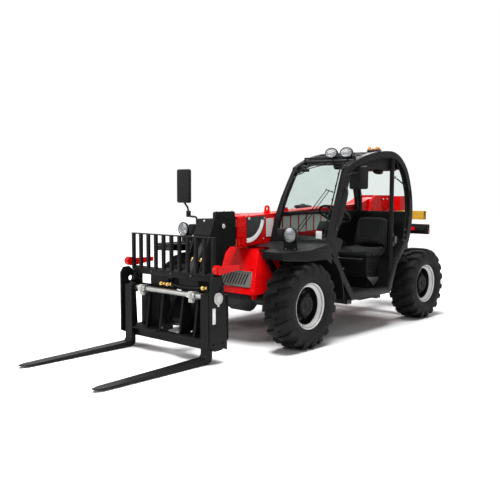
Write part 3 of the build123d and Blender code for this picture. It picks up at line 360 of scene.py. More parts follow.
cadFinishes = {
    "redSoft": ["boom_outer", "lock_arms", "engine_hood"],
    "redOverBlack": ["chassis"],
    "blackSoft": ["cab_frame", "carriage", "load_guard", "fork_left", "fork_right", "boom_inner",
                  "fender_left", "fender_right", "roof_guard", "counterweight"],
    "grey": ["lift_cylinder", "tilt_cylinder", "front_axle", "rear_axle"],
    "cast": ["engine", "knuckle_front_left", "knuckle_front_right", "knuckle_rear_left",
             "knuckle_rear_right"],
    "yellow": ["safety_prop"],
    "steel": ["fork_shaft"],
    "chrome": ["lift_rod", "tilt_rod"],
    "plastic": ["console", "steering_wheel", "mirrors", "air_precleaner", "seat_base", "headlamps",
                "work_lamps", "beacon", "tail_lamps"],
    "dialFace": ["angle_dial"],
    "grilleGrey": ["nose_grille"],
    "silver": ["rim_front_left", "rim_front_right", "rim_rear_left", "rim_rear_right"],
    "cloth": ["seat_cushion", "seat_back"],
    "glass": ["windscreen", "rear_window", "roof_pane", "side_window"],
    "tyre": ["tyre_front_left", "tyre_front_right", "tyre_rear_left", "tyre_rear_right"],
}
# the frame is red above and near-black below, where its rails and outriggers are; the near-black is painted
# shade for its dark underside
chassisPaintedShade = {"paintedShadeBelow": 0.452}
frameMaterial = finish["redSoft"].copy()
frameMaterial.name = "redOverBlackFrame"
tree = frameMaterial.node_tree
shader = next(n for n in tree.nodes if n.type == "BSDF_PRINCIPLED")
above = shader.inputs["Base Color"].links[0].from_socket
where = node(tree, "ShaderNodeTexCoord")
split = node(tree, "ShaderNodeSeparateXYZ")
link(where.outputs["Object"], split.inputs[0])
low = node(tree, "ShaderNodeMath", operation="LESS_THAN")
low.inputs[1].default_value = chassisPaintedShade["paintedShadeBelow"]
link(split.outputs["Z"], low.inputs[0])
mix = node(tree, "ShaderNodeMix", data_type="RGBA")
link(low.outputs[0], mix.inputs[0])
link(above, mix.inputs[6])
# painted shade: below this height the frame's colour is near-black
mix.inputs[7].default_value = (0.008, 0.008, 0.0085, 1)
link(mix.outputs[2], shader.inputs["Base Color"])
finish["redOverBlack"] = frameMaterial
for key, names in cadFinishes.items():
    for name in names:
        setFinish(bpy.data.objects[name], finish[key])
print("finishes made")


# tools for new pieces
mergeWithin = 0.00005  # points closer than this become one


def clearSelection():
    if bpy.context.mode != "OBJECT":
        bpy.ops.object.mode_set(mode="OBJECT")
    bpy.ops.object.select_all(action="DESELECT")


def pick(obj):
    clearSelection()
    obj.select_set(True)
    bpy.context.view_layer.objects.active = obj


def settle(obj, normals=True, smooth=35):
    # place goes into the mesh, faces outwards, soft shading
    pick(obj)
    bpy.ops.object.transform_apply(location=True, rotation=True, scale=True)
    if normals:
        bpy.ops.object.mode_set(mode="EDIT")
        bpy.ops.mesh.select_all(action="SELECT")
        bpy.ops.mesh.remove_doubles(threshold=mergeWithin)
        edited()
    bpy.ops.object.shade_smooth_by_angle(angle=radians(smooth))
    return obj


def editing(obj):
    # edit mode with the whole mesh selected
    pick(obj)
    bpy.ops.object.mode_set(mode="EDIT")
    bpy.ops.mesh.select_all(action="SELECT")


def edited():
    # faces outwards, then back to object mode
    bpy.ops.mesh.select_all(action="SELECT")
    bpy.ops.mesh.normals_make_consistent(inside=False)
    bpy.ops.object.mode_set(mode="OBJECT")


def applied(obj, kind, **values):
    # one modifier with these values, applied to the mesh
    pick(obj)
    modifier = obj.modifiers.new(kind, kind)
    for key, value in values.items():
        setattr(modifier, key, value)
    bpy.ops.object.modifier_apply(modifier=modifier.name)
    return obj


def bevelled(obj, width, segments=2, angle=30):
    if width:
        applied(obj, "BEVEL", width=width, segments=segments, limit_method="ANGLE",
            angle_limit=radians(angle), harden_normals=False)
    return obj


def cutAway(obj, cutter):
    applied(obj, "BOOLEAN", operation="DIFFERENCE", solver="EXACT", object=cutter)
    bpy.data.objects.remove(cutter)


def flatter(obj, angle):
    # faces that are nearly in one plane merged, so that a bevel finds only real edges
    editing(obj)
    bpy.ops.mesh.dissolve_limited(angle_limit=radians(angle))
    bpy.ops.object.mode_set(mode="OBJECT")
    return obj


def footOf(name):
    # the middle of the underside of a node's box
    low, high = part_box(name)
    return Vector(((low[0] + high[0]) / 2, (low[1] + high[1]) / 2, low[2]))


def nodeCopy(name):
    # a new object with a copy of a node's mesh
    made = bpy.data.objects.new(name + "_copy", bpy.data.objects[name].data.copy())
    bpy.context.scene.collection.objects.link(made)
    return settle(made)


def place(obj, name, key, body="chassis", slot=None):
    # a piece, or a list of parts joined into one, with its name, finish and body; the colour slot is not used
    if isinstance(obj, list):
        obj = joined(obj)
    obj.name = name
    setFinish(obj, finish[key])
    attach(obj, body)
    return obj


def block(low, high, bevel=0.004, segments=2):
    # a bevelled block between two opposite corners
    clearSelection()
    low, high = Vector(map(min, low, high)), Vector(map(max, low, high))
    bpy.ops.mesh.primitive_cube_add(size=1, location=(low + high) / 2, scale=high - low)
    obj = bpy.context.active_object
    bpy.ops.object.transform_apply(location=True, rotation=True, scale=True)
    return settle(bevelled(obj, bevel, segments), normals=False)


def bar(start, end, radius, sides=24, bevel=0, radiusEnd=None):
    # a round bar or cone between two points
    clearSelection()
    start, end = Vector(start), Vector(end)
    way = end - start
    turned = way.to_track_quat("Z", "Y").to_euler()
    bpy.ops.mesh.primitive_cone_add(vertices=sides, radius1=radius,
        radius2=radius if radiusEnd is None else radiusEnd, depth=way.length, location=(start + end) / 2,
        rotation=turned)
    obj = bpy.context.active_object
    bpy.ops.object.transform_apply(location=True, rotation=True, scale=True)
    return settle(bevelled(obj, bevel, 2), normals=False)


def plate(points, depth, bevel=0.003, segments=2):
    # a closed outline of points, extruded by the vector depth
    clearSelection()
    bpy.ops.mesh.primitive_circle_add(vertices=len(points), fill_type="NGON")
    obj = bpy.context.active_object
    for vertex, point in zip(obj.data.vertices, points):
        vertex.co = point
    bpy.ops.object.mode_set(mode="EDIT")
    bpy.ops.mesh.select_all(action="SELECT")
    bpy.ops.mesh.extrude_region_move(TRANSFORM_OT_translate={"value": Vector(depth)})
    edited()
    return settle(bevelled(obj, bevel, segments))


def sidePlate(points, xLow, xHigh, bevel=0.003, segments=2):
    # a side view outline (distance behind the front axle, height), from xLow to xHigh
    xLow, xHigh = sorted((xLow, xHigh))
    return plate([at(xLow, behind, z) for behind, z in points], (xHigh - xLow, 0, 0), bevel, segments)


def turnedPiece(profile, centre, axis, steps=64):
    # profile points (along, radius) turned round an axis through centre; one that ends on the axis stays open
    closed = profile[-1][1] > 0
    clearSelection()
    axis = Vector(axis).normalized()
    across = axis.orthogonal().normalized()
    bpy.ops.mesh.primitive_circle_add(vertices=len(profile), fill_type="NOTHING")
    obj = bpy.context.active_object
    for vertex, (along, radius) in zip(obj.data.vertices, profile):
        vertex.co = Vector(centre) + axis * along + across * radius
    bpy.ops.object.mode_set(mode="EDIT")
    if not closed:
        mesh = bmesh.from_edit_mesh(obj.data)
        mesh.verts.ensure_lookup_table()
        last = mesh.edges.get((mesh.verts[0], mesh.verts[len(profile) - 1]))
        bpy.ops.mesh.select_all(action="DESELECT")
        bpy.ops.mesh.select_mode(type="EDGE")
        last.select = True
        bpy.ops.mesh.delete(type="EDGE_FACE")
        bpy.ops.mesh.select_mode(type="VERT")
    bpy.ops.mesh.select_all(action="SELECT")
    bpy.ops.mesh.spin(steps=steps, angle=2 * pi, center=Vector(centre), axis=axis)
    bpy.ops.mesh.select_all(action="SELECT")
    bpy.ops.mesh.remove_doubles(threshold=mergeWithin)
    edited()
    return settle(obj)


def tube(points, radius, smooth=True, sides=4, ring=False):
    # a rigid pipe through points, its bends rounded by the curve, or a closed ring of it
    clearSelection()
    bpy.ops.curve.primitive_nurbs_path_add()
    obj = bpy.context.active_object
    curve = obj.data
    curve.splines.clear()
    line = curve.splines.new("NURBS" if smooth else "POLY")
    line.points.add(len(points) - 1)
    for knot, point in zip(line.points, points):
        knot.co = (*point, 1)
    line.order_u = 3
    line.use_endpoint_u = not ring
    line.use_cyclic_u = ring
    obj.location = (0, 0, 0)
    curve.bevel_depth = radius
    curve.bevel_resolution = sides
    curve.use_fill_caps = not ring
    curve.resolution_u = 8
    bpy.ops.object.convert(target="MESH")
    return settle(bpy.context.active_object)


def copyTo(obj, move):
    # a copy with its own mesh, moved by a matrix
    made = obj.copy()
    made.data = obj.data.copy()
    bpy.context.scene.collection.objects.link(made)
    made.data.transform(move)
    if move.to_3x3().determinant() < 0:
        made.data.flip_normals()
    return made


def joined(parts):
    clearSelection()
    for part in parts:
        part.select_set(True)
    bpy.context.view_layer.objects.active = parts[0]
    bpy.ops.object.join()
    return bpy.context.active_object


def hexBolt(radius=0.012, height=0.008):
    # head, washer and a chamfered top, standing on the origin along Z
    washer = bar((0, 0, 0), (0, 0, 0.003), radius * 1.25, 24, 0.0006)
    head = bar((0, 0, 0.003), (0, 0, 0.003 + height), radius, 6, 0.0012)
    return joined([head, washer])


def bolts(places, outward, radius=0.012, height=0.008):
    # one bolt copied to each place, all pointing outward
    first = hexBolt(radius, height)
    lean = Vector(outward).to_track_quat("Z", "Y").to_matrix().to_4x4()
    made = [copyTo(first, Matrix.Translation(Vector(spot)) @ lean) for spot in places]
    bpy.data.objects.remove(first)
    return joined(made)


# tyres: carcass, shoulder lugs and side rings
axle = ((0, 0, 0), (1, 0, 0))  # a wheel is made round the origin
tyreShape = {"radius": 0.42, "lugHeight": 0.024, "pairs": 19}


def tyreProfile(shape):
    top = shape["radius"] - shape["lugHeight"]
    half = [(0.1117, 0.2065), (0.1117, 0.221), (0.1225, 0.2275), (0.135, 0.2375), (0.1415, 0.252),
        (0.1435, 0.262), (0.1478, 0.268), (0.1505, 0.285), (0.1515, 0.312), (0.1495, 0.338),
        (0.1432, 0.362), (0.131, 0.381), (0.108, 0.3905), (0.06, top - 0.0015)]
    return [(-along, radius) for along, radius in half] + [(0, top)] + half[::-1]


def tyreLug(shape):
    # one chunky lug: a cube lofted from the middle of the tread down over the shoulder
    clearSelection()
    bpy.ops.mesh.primitive_cube_add(size=1, location=(0.5, 0, 0.5))
    obj = bpy.context.active_object
    bpy.ops.object.transform_apply(location=True, rotation=True, scale=True)
    bpy.ops.object.mode_set(mode="EDIT")
    bpy.ops.mesh.select_all(action="SELECT")
    bpy.ops.mesh.subdivide(number_cuts=4)
    bpy.ops.object.mode_set(mode="OBJECT")
    # stations across the tyre: x, top radius, foot radius, half length round the tyre, trail
    stations = [(-0.022, 0.4165, 0.385, 0.021, -0.02), (0.022, 0.4195, 0.385, 0.025, -0.008),
        (0.075, 0.419, 0.382, 0.027, 0.012), (0.122, 0.412, 0.372, 0.029, 0.034),
        (0.1495, 0.39, 0.352, 0.031, 0.046), (0.1528, 0.348, 0.33, 0.025, 0.052)]
    for vertex in obj.data.vertices:
        share = vertex.co.x * 5
        step = min(int(share + 0.001), 4)
        rest = share - step
        x, top, foot, length, trail = [a + (b - a) * rest for a, b in zip(stations[step],
            stations[step + 1])]
        side = vertex.co.y * 2
        height = vertex.co.z
        wide = length * (1.18 - 0.18 * height)
        radius = foot + (top - foot) * height
        angle = (trail + side * wide) / shape["radius"]
        vertex.co = Vector((x, radius * sin(angle), radius * cos(angle)))
    return settle(bevelled(obj, 0.0035, 2, 40), smooth=50)


def makeTyre(shape):
    carcass = turnedPiece(tyreProfile(shape), *axle, 96)
    lug = tyreLug(shape)
    step = 2 * pi / shape["pairs"]
    parts = [carcass]
    flip = Matrix.Rotation(pi, 4, "Z")
    for n in range(shape["pairs"]):
        parts.append(copyTo(lug, Matrix.Rotation(n * step, 4, "X")))
        parts.append(copyTo(lug, Matrix.Rotation((n + 0.5) * step, 4, "X") @ flip))
    # raised rings on the sidewall
    for sign in (1, -1):
        parts.append(turnedPiece([(sign * 0.1505, 0.3), (sign * 0.1528, 0.3015), (sign * 0.1528, 0.3055),
            (sign * 0.1505, 0.307)], *axle, 72))
    bpy.data.objects.remove(lug)
    return joined(parts)


# rims: a silver ring outside, then a dark barrel, disc and broad hub
rimShape = {"halfWidth": 0.124, "dish": 0.128, "hubOut": 0.04, "nuts": 10, "nutCircle": 0.132}


def makeRim(shape):
    half = shape["halfWidth"]
    face = half - shape["dish"]
    out = half - shape["hubOut"]

    def moved(by, points):
        return [(by + along, radius) for along, radius in points]

    ring = moved(half, [(0, 0.2225), (0.0008, 0.2195), (-0.0005, 0.216), (-0.004, 0.2135), (-0.01, 0.21),
        (-0.022, 0.204), (-0.03, 0.201), (-0.034, 0.1975), (-0.038, 0.19), (-0.041, 0.1845),
        (-0.045, 0.1815), (-0.05, 0.1805), (-0.055, 0.1825), (-0.056, 0.2055), (-0.0125, 0.2055 + 0.006),
        (-0.012, 0.2225)])
    shell = turnedPiece(ring, *axle, 96)
    outer = moved(half, [(-0.05, 0.1812), (-0.056, 0.18), (-0.085, 0.179)])
    dish = moved(face, [(0.012, 0.1775), (0.006, 0.172), (0, 0.168), (0.003, 0.152), (0.01, 0.146),
        (0.01, 0.105), (0, 0.0985), (-0.006, 0), (-0.016, 0), (-0.014, 0.1885)])
    inner = moved(-half, [(0.02, 0.2), (0, 0.209), (0, 0.2225), (0.012, 0.2225), (0.0125, 0.2055)])
    edge = moved(half, [(-0.054, 0.2055), (-0.054, 0.1815)])
    barrel = turnedPiece(outer + dish + inner + edge, *axle, 96)
    flank = moved(face, [(-0.002, 0.112), (0.03, 0.11), (0.04, 0.102)])
    front = moved(out, [(-0.016, 0.1), (-0.006, 0.098), (0, 0.09), (0, 0.05), (-0.004, 0.046),
        (-0.004, 0.028), (0.004, 0.024), (0.004, 0)])
    hub = turnedPiece(flank + front, *axle, 72)
    # black notches between disc and rim
    notches = []
    for n in range(shape["nuts"]):
        a = 2 * pi * n / shape["nuts"]
        notches.append(bar((face + 0.0012, 0.16 * sin(a), 0.16 * cos(a)),
            (face + 0.0035, 0.16 * sin(a), 0.16 * cos(a)), 0.01, 16))
    nutSpots = [(face + 0.01, shape["nutCircle"] * sin(a), shape["nutCircle"] * cos(a))
        for a in [2 * pi * n / shape["nuts"] + 0.2 for n in range(shape["nuts"])]]
    nuts = bolts(nutSpots, (1, 0, 0), 0.0135, 0.016)
    capSpots = [(out, 0.074 * sin(a), 0.074 * cos(a)) for a in [2 * pi * n / 6 for n in range(6)]]
    capBolts = bolts(capSpots, (1, 0, 0), 0.0065, 0.005)
    plug = bolts([(out - 0.004, 0, 0.037)], (1, 0, 0), 0.009, 0.004)
    valve = bar((face + 0.02, 0, 0.166), (face + 0.052, 0, 0.172), 0.0045, 12, 0.001)
    return shell, joined([barrel] + notches), joined([hub]), joined([nuts, capBolts, plug]), valve


tyre = makeTyre(tyreShape)
shell, disc, hub, nuts, valve = makeRim(rimShape)
for corner in ("front_left", "front_right", "rear_left", "rear_right"):
    low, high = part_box("rim_" + corner)
    centre = Vector([(a + b) / 2 for a, b in zip(low, high)])
    spot = Matrix.Translation(centre)
    if corner.endswith("right"):
        spot = spot @ Matrix.Rotation(pi, 4, "Z")
    body = "wheel_" + corner
    made = place(copyTo(tyre, spot), "detail_tyre_" + corner, "tyre", body)
    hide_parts("tyre_" + corner)
    made = place(copyTo(shell, spot), "detail_rim_" + corner, "silver", body)
    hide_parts("rim_" + corner)
    place(copyTo(disc, spot), "wheel_disc_" + corner, "black", body)
    place(copyTo(hub, spot), "wheel_hub_" + corner, "gasket", body, slot="cast_metal")
    place(copyTo(nuts, spot), "wheel_nuts_" + corner, "cast", body, slot="cast_metal")
    place(copyTo(valve, spot), "tyre_valve_" + corner, "brass", body)
for spare in (tyre, shell, disc, hub, nuts, valve):
    bpy.data.objects.remove(spare)
print("wheels made")


# more tools: open frames, loops of tube and rounded shells
def frameRing(corners, width, depth, bevel=0.002):
    # a flat frame inside four corners, given a thickness by the vector depth
    clearSelection()
    bpy.ops.mesh.primitive_plane_add(size=1)
    obj = bpy.context.active_object
    for number, corner in zip([0, 1, 3, 2], corners):  # the plane counts its corners in rows
        obj.data.vertices[number].co = corner
    bpy.ops.object.mode_set(mode="EDIT")
    bpy.ops.mesh.select_mode(type="FACE")
    bpy.ops.mesh.select_all(action="SELECT")
    bpy.ops.mesh.inset(thickness=width, depth=0)
    bpy.ops.mesh.delete(type="FACE")
    bpy.ops.mesh.select_all(action="SELECT")
    bpy.ops.mesh.extrude_region_move(TRANSFORM_OT_translate={"value": Vector(depth)})
    bpy.ops.mesh.select_mode(type="VERT")
    edited()
    return settle(bevelled(obj, bevel, 2))


def tubeLoop(points, radius):
    return tube(points, radius, False, 3, ring=True)


def shellBox(low, high, bevel, segments=4, hollow=None, wall=0.004):
    # a rounded moulded box; hollow names the open face: the axis and its sign
    obj = block(low, high, bevel, segments)
    if hollow:
        axis, sign = hollow
        pick(obj)
        bpy.ops.object.mode_set(mode="EDIT")
        mesh = bmesh.from_edit_mesh(obj.data)
        bpy.ops.mesh.select_mode(type="FACE")
        bpy.ops.mesh.select_all(action="DESELECT")
        best = max(mesh.faces, key=lambda face: face.normal[axis] * sign * (1 + face.calc_area()))
        best.select = True
        bpy.ops.mesh.inset(thickness=wall, depth=0)
        bpy.ops.mesh.inset(thickness=wall * 0.4, depth=-wall * 1.5)
        bpy.ops.mesh.select_mode(type="VERT")
        bpy.ops.object.mode_set(mode="OBJECT")
        settle(obj, normals=False)
    return obj


# seat: cushions swollen by cloth pressure, then sewn channels
seat = {
    "voxel": 0.007, "pressure": 3.5, "stretch": 12, "bend": 1.5, "mass": 0.4, "frames": 20, "cap": 0.013,
    "shrink": 0.012, "channel": 0.004, "bolster": 0.024, "shoulder": 0.045,
}


def swollen(obj, pressure, cap, voxel):
    # voxel remesh, cloth pressure for some frames, movement held within the cap
    applied(obj, "REMESH", mode="VOXEL", voxel_size=voxel)
    start = [vertex.co.copy() for vertex in obj.data.vertices]
    cloth = obj.modifiers.new("cloth", "CLOTH")
    cloth.settings.use_pressure = True
    cloth.settings.uniform_pressure_force = pressure
    cloth.settings.tension_stiffness = seat["stretch"]
    cloth.settings.compression_stiffness = seat["stretch"]
    cloth.settings.bending_stiffness = seat["bend"]
    cloth.settings.mass = seat["mass"]
    cloth.settings.effector_weights.gravity = 0
    cloth.point_cache.frame_start = 1
    cloth.point_cache.frame_end = seat["frames"]
    scene = bpy.context.scene
    for frameNumber in range(1, seat["frames"] + 1):
        scene.frame_set(frameNumber)
    pick(obj)
    bpy.ops.object.modifier_apply(modifier="cloth")
    for vertex, first in zip(obj.data.vertices, start):
        move = vertex.co - first
        if move.length > cap:
            vertex.co = first + move.normalized() * cap
    scene.frame_set(1)
    applied(obj, "SMOOTH", factor=0.5, iterations=4)
    return applied(obj, "SUBSURF", levels=1, render_levels=1)


def sewn(obj, seams, depth, width=0.007):
    # press seams into the cushion; each seam is a test of how far a point is from it
    mesh = obj.data
    normals = [vertex.normal.copy() for vertex in mesh.vertices]
    for vertex, normal in zip(mesh.vertices, normals):
        for seam in seams:
            off = seam(vertex.co)
            if off is not None and abs(off) < 3 * width:
                vertex.co -= normal * depth * 2.718281828 ** (-((off / width) ** 2))
    pick(obj)
    bpy.ops.object.shade_smooth()
    return obj


def seatBase(low, high, middle, wide):
    # a crowned block with a waterfall front; its sides stand a little above its hollow middle
    outline = [(1.276, 0.812), (1.296, 0.794), (1.636, 0.794), (1.7, 0.836), (1.722, 0.872), (1.56, 0.871),
        (1.345, 0.871), (1.29, 0.856)]
    base = sidePlate(outline, low + seat["shrink"], high - seat["shrink"], 0.03, 4)
    base = swollen(base, seat["pressure"], seat["cap"], seat["voxel"])
    for vertex in base.data.vertices:
        out = min(1, abs(vertex.co.x - middle) / (wide / 2))
        if vertex.co.z > 0.84:
            vertex.co.z -= 0.014 * max(0, 1 - out / 0.7) ** 0.5
    top, nose, seamY = 0.85, at(0, 1.3, 0).y, at(0, 1.36, 0).y

    def sideSeam(sign):
        line = middle + sign * wide * 0.3
        return lambda co: co.x - line if co.z > top and co.y > nose else None

    def crossSeam(co):
        return co.y - seamY if co.z > top and abs(co.x - middle) < 0.3 * wide else None

    return sewn(base, [sideSeam(1), sideSeam(-1), crossSeam], seat["channel"])


def seatBack(low, high, middle, wide):
    # round shoulders, and side bolsters that stand forward of the middle
    outline = [(1.668, 0.9), (1.728, 0.9), (1.786, 1.21), (1.77, 1.226), (1.744, 1.226), (1.722, 1.205),
        (1.69, 1.01)]
    back = sidePlate(outline, low + seat["shrink"], high - seat["shrink"], 0.026, 4)
    back = swollen(back, seat["pressure"], seat["cap"], seat["voxel"])
    for vertex in back.data.vertices:
        out = min(1, abs(vertex.co.x - middle) / (wide / 2))
        rise = min(1, max(0, (vertex.co.z - 1.02) / 0.2))
        vertex.co.z -= seat["shoulder"] * out ** 4 * rise
        vertex.co.x = middle + (vertex.co.x - middle) * (1 - 0.13 * rise ** 2)
        front = 1 if vertex.co.y < at(0, 1.7 + 0.28 * (vertex.co.z - 0.9), 0).y else 0
        side = max(0, out - 0.55) / 0.45
        vertex.co.y -= front * seat["bolster"] * side * (2 - side) * (1 - 0.6 * rise)

    def sideSeam(sign):
        line = middle + sign * wide * 0.3
        return lambda co: co.x - line if 0.93 < co.z < 1.19 else None

    def crossSeam(co):
        return co.z - 0.985 if abs(co.x - middle) < 0.3 * wide else None

    return sewn(back, [sideSeam(1), sideSeam(-1), crossSeam], seat["channel"])


for name, make in (("seat_cushion", seatBase), ("seat_back", seatBack)):
    low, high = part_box(name)
    cushion = make(low[0], high[0], (low[0] + high[0]) / 2, high[0] - low[0])
    place(cushion, "detail_" + name, "cloth")
    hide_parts(name)
print("seat made")

# seat fittings: belt, levers, slide rails and the suspension bellows
place(block(at(0.285, 1.335, 0.5), at(0.655, 1.43, 0.545), 0.006), "seat_slide_front", "cast")
bellows = []
for n in range(5):
    z = 0.565 + n * 0.038
    bellows.append(block(at(0.262, 1.318 + 0.01 * n, z), at(0.678, 1.47 + 0.022 * n, z + 0.026), 0.01, 3))
place(bellows, "seat_bellows", "gasket")
place(bar(at(0.69, 1.4, 0.8), at(0.712, 1.4, 0.8), 0.016, 24, 0.003), "seat_knob_height", "plastic")
place(tube([at(0.3, 1.262, 0.77), at(0.3, 1.235, 0.765), at(0.36, 1.225, 0.765), at(0.58, 1.225, 0.765),
    at(0.64, 1.235, 0.765), at(0.64, 1.262, 0.77)], 0.006), "seat_slide_lever", "cast")
place(block(at(0.705, 1.6, 0.868), at(0.722, 1.64, 0.945), 0.006), "belt_buckle", "plastic")
place(tube([at(0.712, 1.62, 0.875), at(0.712, 1.635, 0.82), at(0.7, 1.64, 0.76)], 0.006), "belt_stalk",
    "plastic")

# steering wheel: moulded grip, three spokes, hub and column
wheel = {"tilt": 33, "centre": (0.47, 0.96, 1.265), "grip": 0.17, "thick": 0.0125}
middle = at(*wheel["centre"])
wayUp = Vector((0, sin(radians(wheel["tilt"])), cos(radians(wheel["tilt"]))))
lean = wayUp.to_track_quat("Z", "Y").to_matrix().to_4x4()
clearSelection()
bpy.ops.mesh.primitive_torus_add(major_radius=wheel["grip"], minor_radius=wheel["thick"], major_segments=72,
    minor_segments=18)
grip = bpy.context.active_object
# finger waves on the under side
for vertex in grip.data.vertices:
    angle = atan2(vertex.co.y, vertex.co.x)
    if vertex.co.z < 0:
        vertex.co.z += 0.0016 * sin(angle * 36)
parts = [settle(grip)]
for n in range(3):
    angle = radians(90 + 120 * n)
    out = Vector((cos(angle), sin(angle), 0))
    across = Vector((-sin(angle), cos(angle), 0))
    parts.append(plate([out * 0.03 + across * 0.024, out * 0.09 + across * 0.015,
        out * 0.164 + across * 0.017, out * 0.164 - across * 0.017, out * 0.09 - across * 0.015,
        out * 0.03 - across * 0.024], (0, 0, 0.009), 0.003, 2))
parts.append(turnedPiece([(-0.03, 0), (-0.03, 0.026), (-0.012, 0.034), (0.004, 0.04), (0.013, 0.038),
    (0.017, 0.03), (0.018, 0)], (0, 0, 0), (0, 0, 1), 48))
spinner = turnedPiece([(0, 0), (0, 0.008), (0.018, 0.009), (0.022, 0.018), (0.034, 0.02), (0.042, 0.016),
    (0.045, 0)], (0.15, -0.055, 0.006), (0, 0, 1), 32)
parts.append(spinner)
steering = joined(parts)
steering.data.transform(Matrix.Translation(middle) @ lean)
place(steering, "detail_steering_wheel", "plastic")
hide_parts("steering_wheel")
foot = middle - wayUp * 0.097
place(bar(foot, middle - wayUp * 0.028, 0.021, 32, 0.002, 0.017), "steering_column", "plastic")
boot = []
for n in range(4):
    spot = foot + wayUp * (0.004 + 0.013 * n)
    boot.append(bar(spot, spot + wayUp * 0.009, 0.036 - 0.004 * n, 32, 0.003))
place(boot, "column_boot", "gasket")
place(tube([at(0.5, 0.985, 1.215), at(0.545, 0.98, 1.222), at(0.59, 0.965, 1.232)], 0.006), "column_stalk",
    "plastic")
place(bar(at(0.585, 0.966, 1.231), at(0.618, 0.956, 1.239), 0.01, 20, 0.003), "column_stalk_knob",
    "plastic")

# dashboard, pedals and the side lever
pod = sidePlate([(0.745, 1.105), (0.8, 1.19), (0.815, 1.196), (0.872, 1.172), (0.868, 1.16), (0.8, 1.1)],
    0.385, 0.555, 0.008, 3)
place(pod, "instrument_pod", "plastic")
podOut = Vector((0, 0.4, 0.9165)).normalized()
for number, (x, radius) in enumerate([(0.425, 0.026), (0.485, 0.03), (0.532, 0.015)]):
    spot = at(x, 0.838, 1.1845)
    place(turnedPiece([(0, radius), (0.006, radius), (0.006, radius - 0.004), (0.002, radius - 0.005),
        (0.002, 0)], spot, podOut, 40), "gauge_ring_%d" % number, "steel")
    place(bar(spot + podOut * 0.0021, spot + podOut * 0.0032, radius - 0.005, 32), "gauge_face_%d" % number,
        "dialFace")
    root = spot + podOut * 0.0034
    tip = root + Vector((0.0006, -0.7 * radius * 0.9165, 0.7 * radius * 0.4))
    needle = plate([root + Vector((-0.0012, 0, 0)), root + Vector((0.0012, 0, 0)), tip], podOut * 0.0008, 0)
    place(needle, "gauge_needle_%d" % number, "dialMark")
vents = [block(at(x - 0.028, 0.52 + n * 0.013, 1.039 + n * 0.001),
    at(x + 0.028, 0.526 + n * 0.013, 1.05 - n * 0.0005), 0.0015, 1) for x in (0.235, 0.315, 0.62, 0.7)
    for n in range(5)]
place(vents, "dash_vents", "gasket")
switches = []
for n in range(6):
    x = 0.6 + 0.028 * (n % 3)
    behind = 0.585 + 0.03 * (n // 3)
    switches.append(block(at(x - 0.01, behind, 1.026), at(x + 0.01, behind + 0.022,
        1.04 - 0.007 * (n // 3)), 0.003, 2))
place(switches, "dash_switches", "plastic")
for number, x in enumerate((0.35, 0.56, 0.625)):
    pad = block(at(x - 0.032, 0.885, 0.56), at(x + 0.032, 0.897, 0.645), 0.004)
    ribs = [block(at(x - 0.028, 0.896, 0.566 + 0.012 * n), at(x + 0.028, 0.9, 0.571 + 0.012 * n), 0.001, 1)
        for n in range(6)]
    stem = tube([at(x, 0.888, 0.6), at(x, 0.85, 0.66), at(x, 0.8, 0.75)], 0.008)
    place([pad, stem] + ribs, "pedal_%d" % number, "plastic")
gaiter = [bar(at(0.205, 1.168 - 0.002 * n, 0.862 + 0.012 * n),
    at(0.205, 1.166 - 0.002 * n, 0.871 + 0.012 * n), 0.034 - 0.005 * n, 28, 0.003) for n in range(5)]
place(gaiter, "lever_gaiter", "gasket")
knob = block(at(0.186, 1.128, 0.945), at(0.224, 1.168, 1.01), 0.014, 4)
button = bar(at(0.205, 1.14, 1.008), at(0.205, 1.14, 1.014), 0.006, 20, 0.001)
place([knob, button], "lever_grip", "plastic")
place(block(at(0.172, 1.2, 0.886), at(0.234, 1.56, 0.925), 0.012, 4), "side_armrest", "plastic")
print("controls made")

# headlamps, work lamps, beacon and tail lamps
lampSpec = {"headlampRadius": 0.077, "workRadius": 0.053, "beaconRadius": 0.078}


def widened(obj, centre, wide):
    # a round lamp made oval, wider across the machine
    for vertex in obj.data.vertices:
        vertex.co.x = centre[0] + (vertex.co.x - centre[0]) * wide
    return obj


def roundLamp(centre, axis, radius, depth, name, wide=1):
    # deep bowl, bezel, reflector and a domed lens; axis points out of the glass
    axis = Vector(axis).normalized()
    bowl = turnedPiece([(0, radius), (-0.004, radius), (-0.012, radius * 0.97),
        (-depth * 0.45, radius * 0.9), (-depth * 0.8, radius * 0.7), (-depth * 0.97, radius * 0.45),
        (-depth, radius * 0.2), (-depth, 0)], centre, axis, 56)
    bezel = turnedPiece([(0, radius * 0.86), (0, radius), (-0.006, radius * 1), (0.003, radius * 0.97),
        (0.005, radius * 0.93), (0.003, radius * 0.88)], centre, axis, 56)
    place(widened(joined([bowl, bezel]), centre, wide), name + "_bowl", "plastic")
    dish = turnedPiece([(-0.002, radius * 0.9), (-depth * 0.3, radius * 0.74),
        (-depth * 0.46, radius * 0.48), (-depth * 0.55, radius * 0.16), (-depth * 0.55, 0)], centre, axis,
        56)
    place(widened(dish, centre, wide), name + "_reflector", "reflector")
    bulb = turnedPiece([(-depth * 0.54, 0), (-depth * 0.54, radius * 0.1), (-depth * 0.35, radius * 0.11),
        (-depth * 0.24, radius * 0.06), (-depth * 0.22, 0)], centre, axis, 20)
    place(bulb, name + "_bulb", "lens")
    glass = turnedPiece([(0, radius * 0.91), (0.003, radius * 0.88), (0.007, radius * 0.62),
        (0.0095, radius * 0.32), (0.0105, 0)], centre, axis, 56)
    applied(glass, "SOLIDIFY", thickness=0.0025)
    place(widened(glass, centre, wide), name + "_lens", "lens")


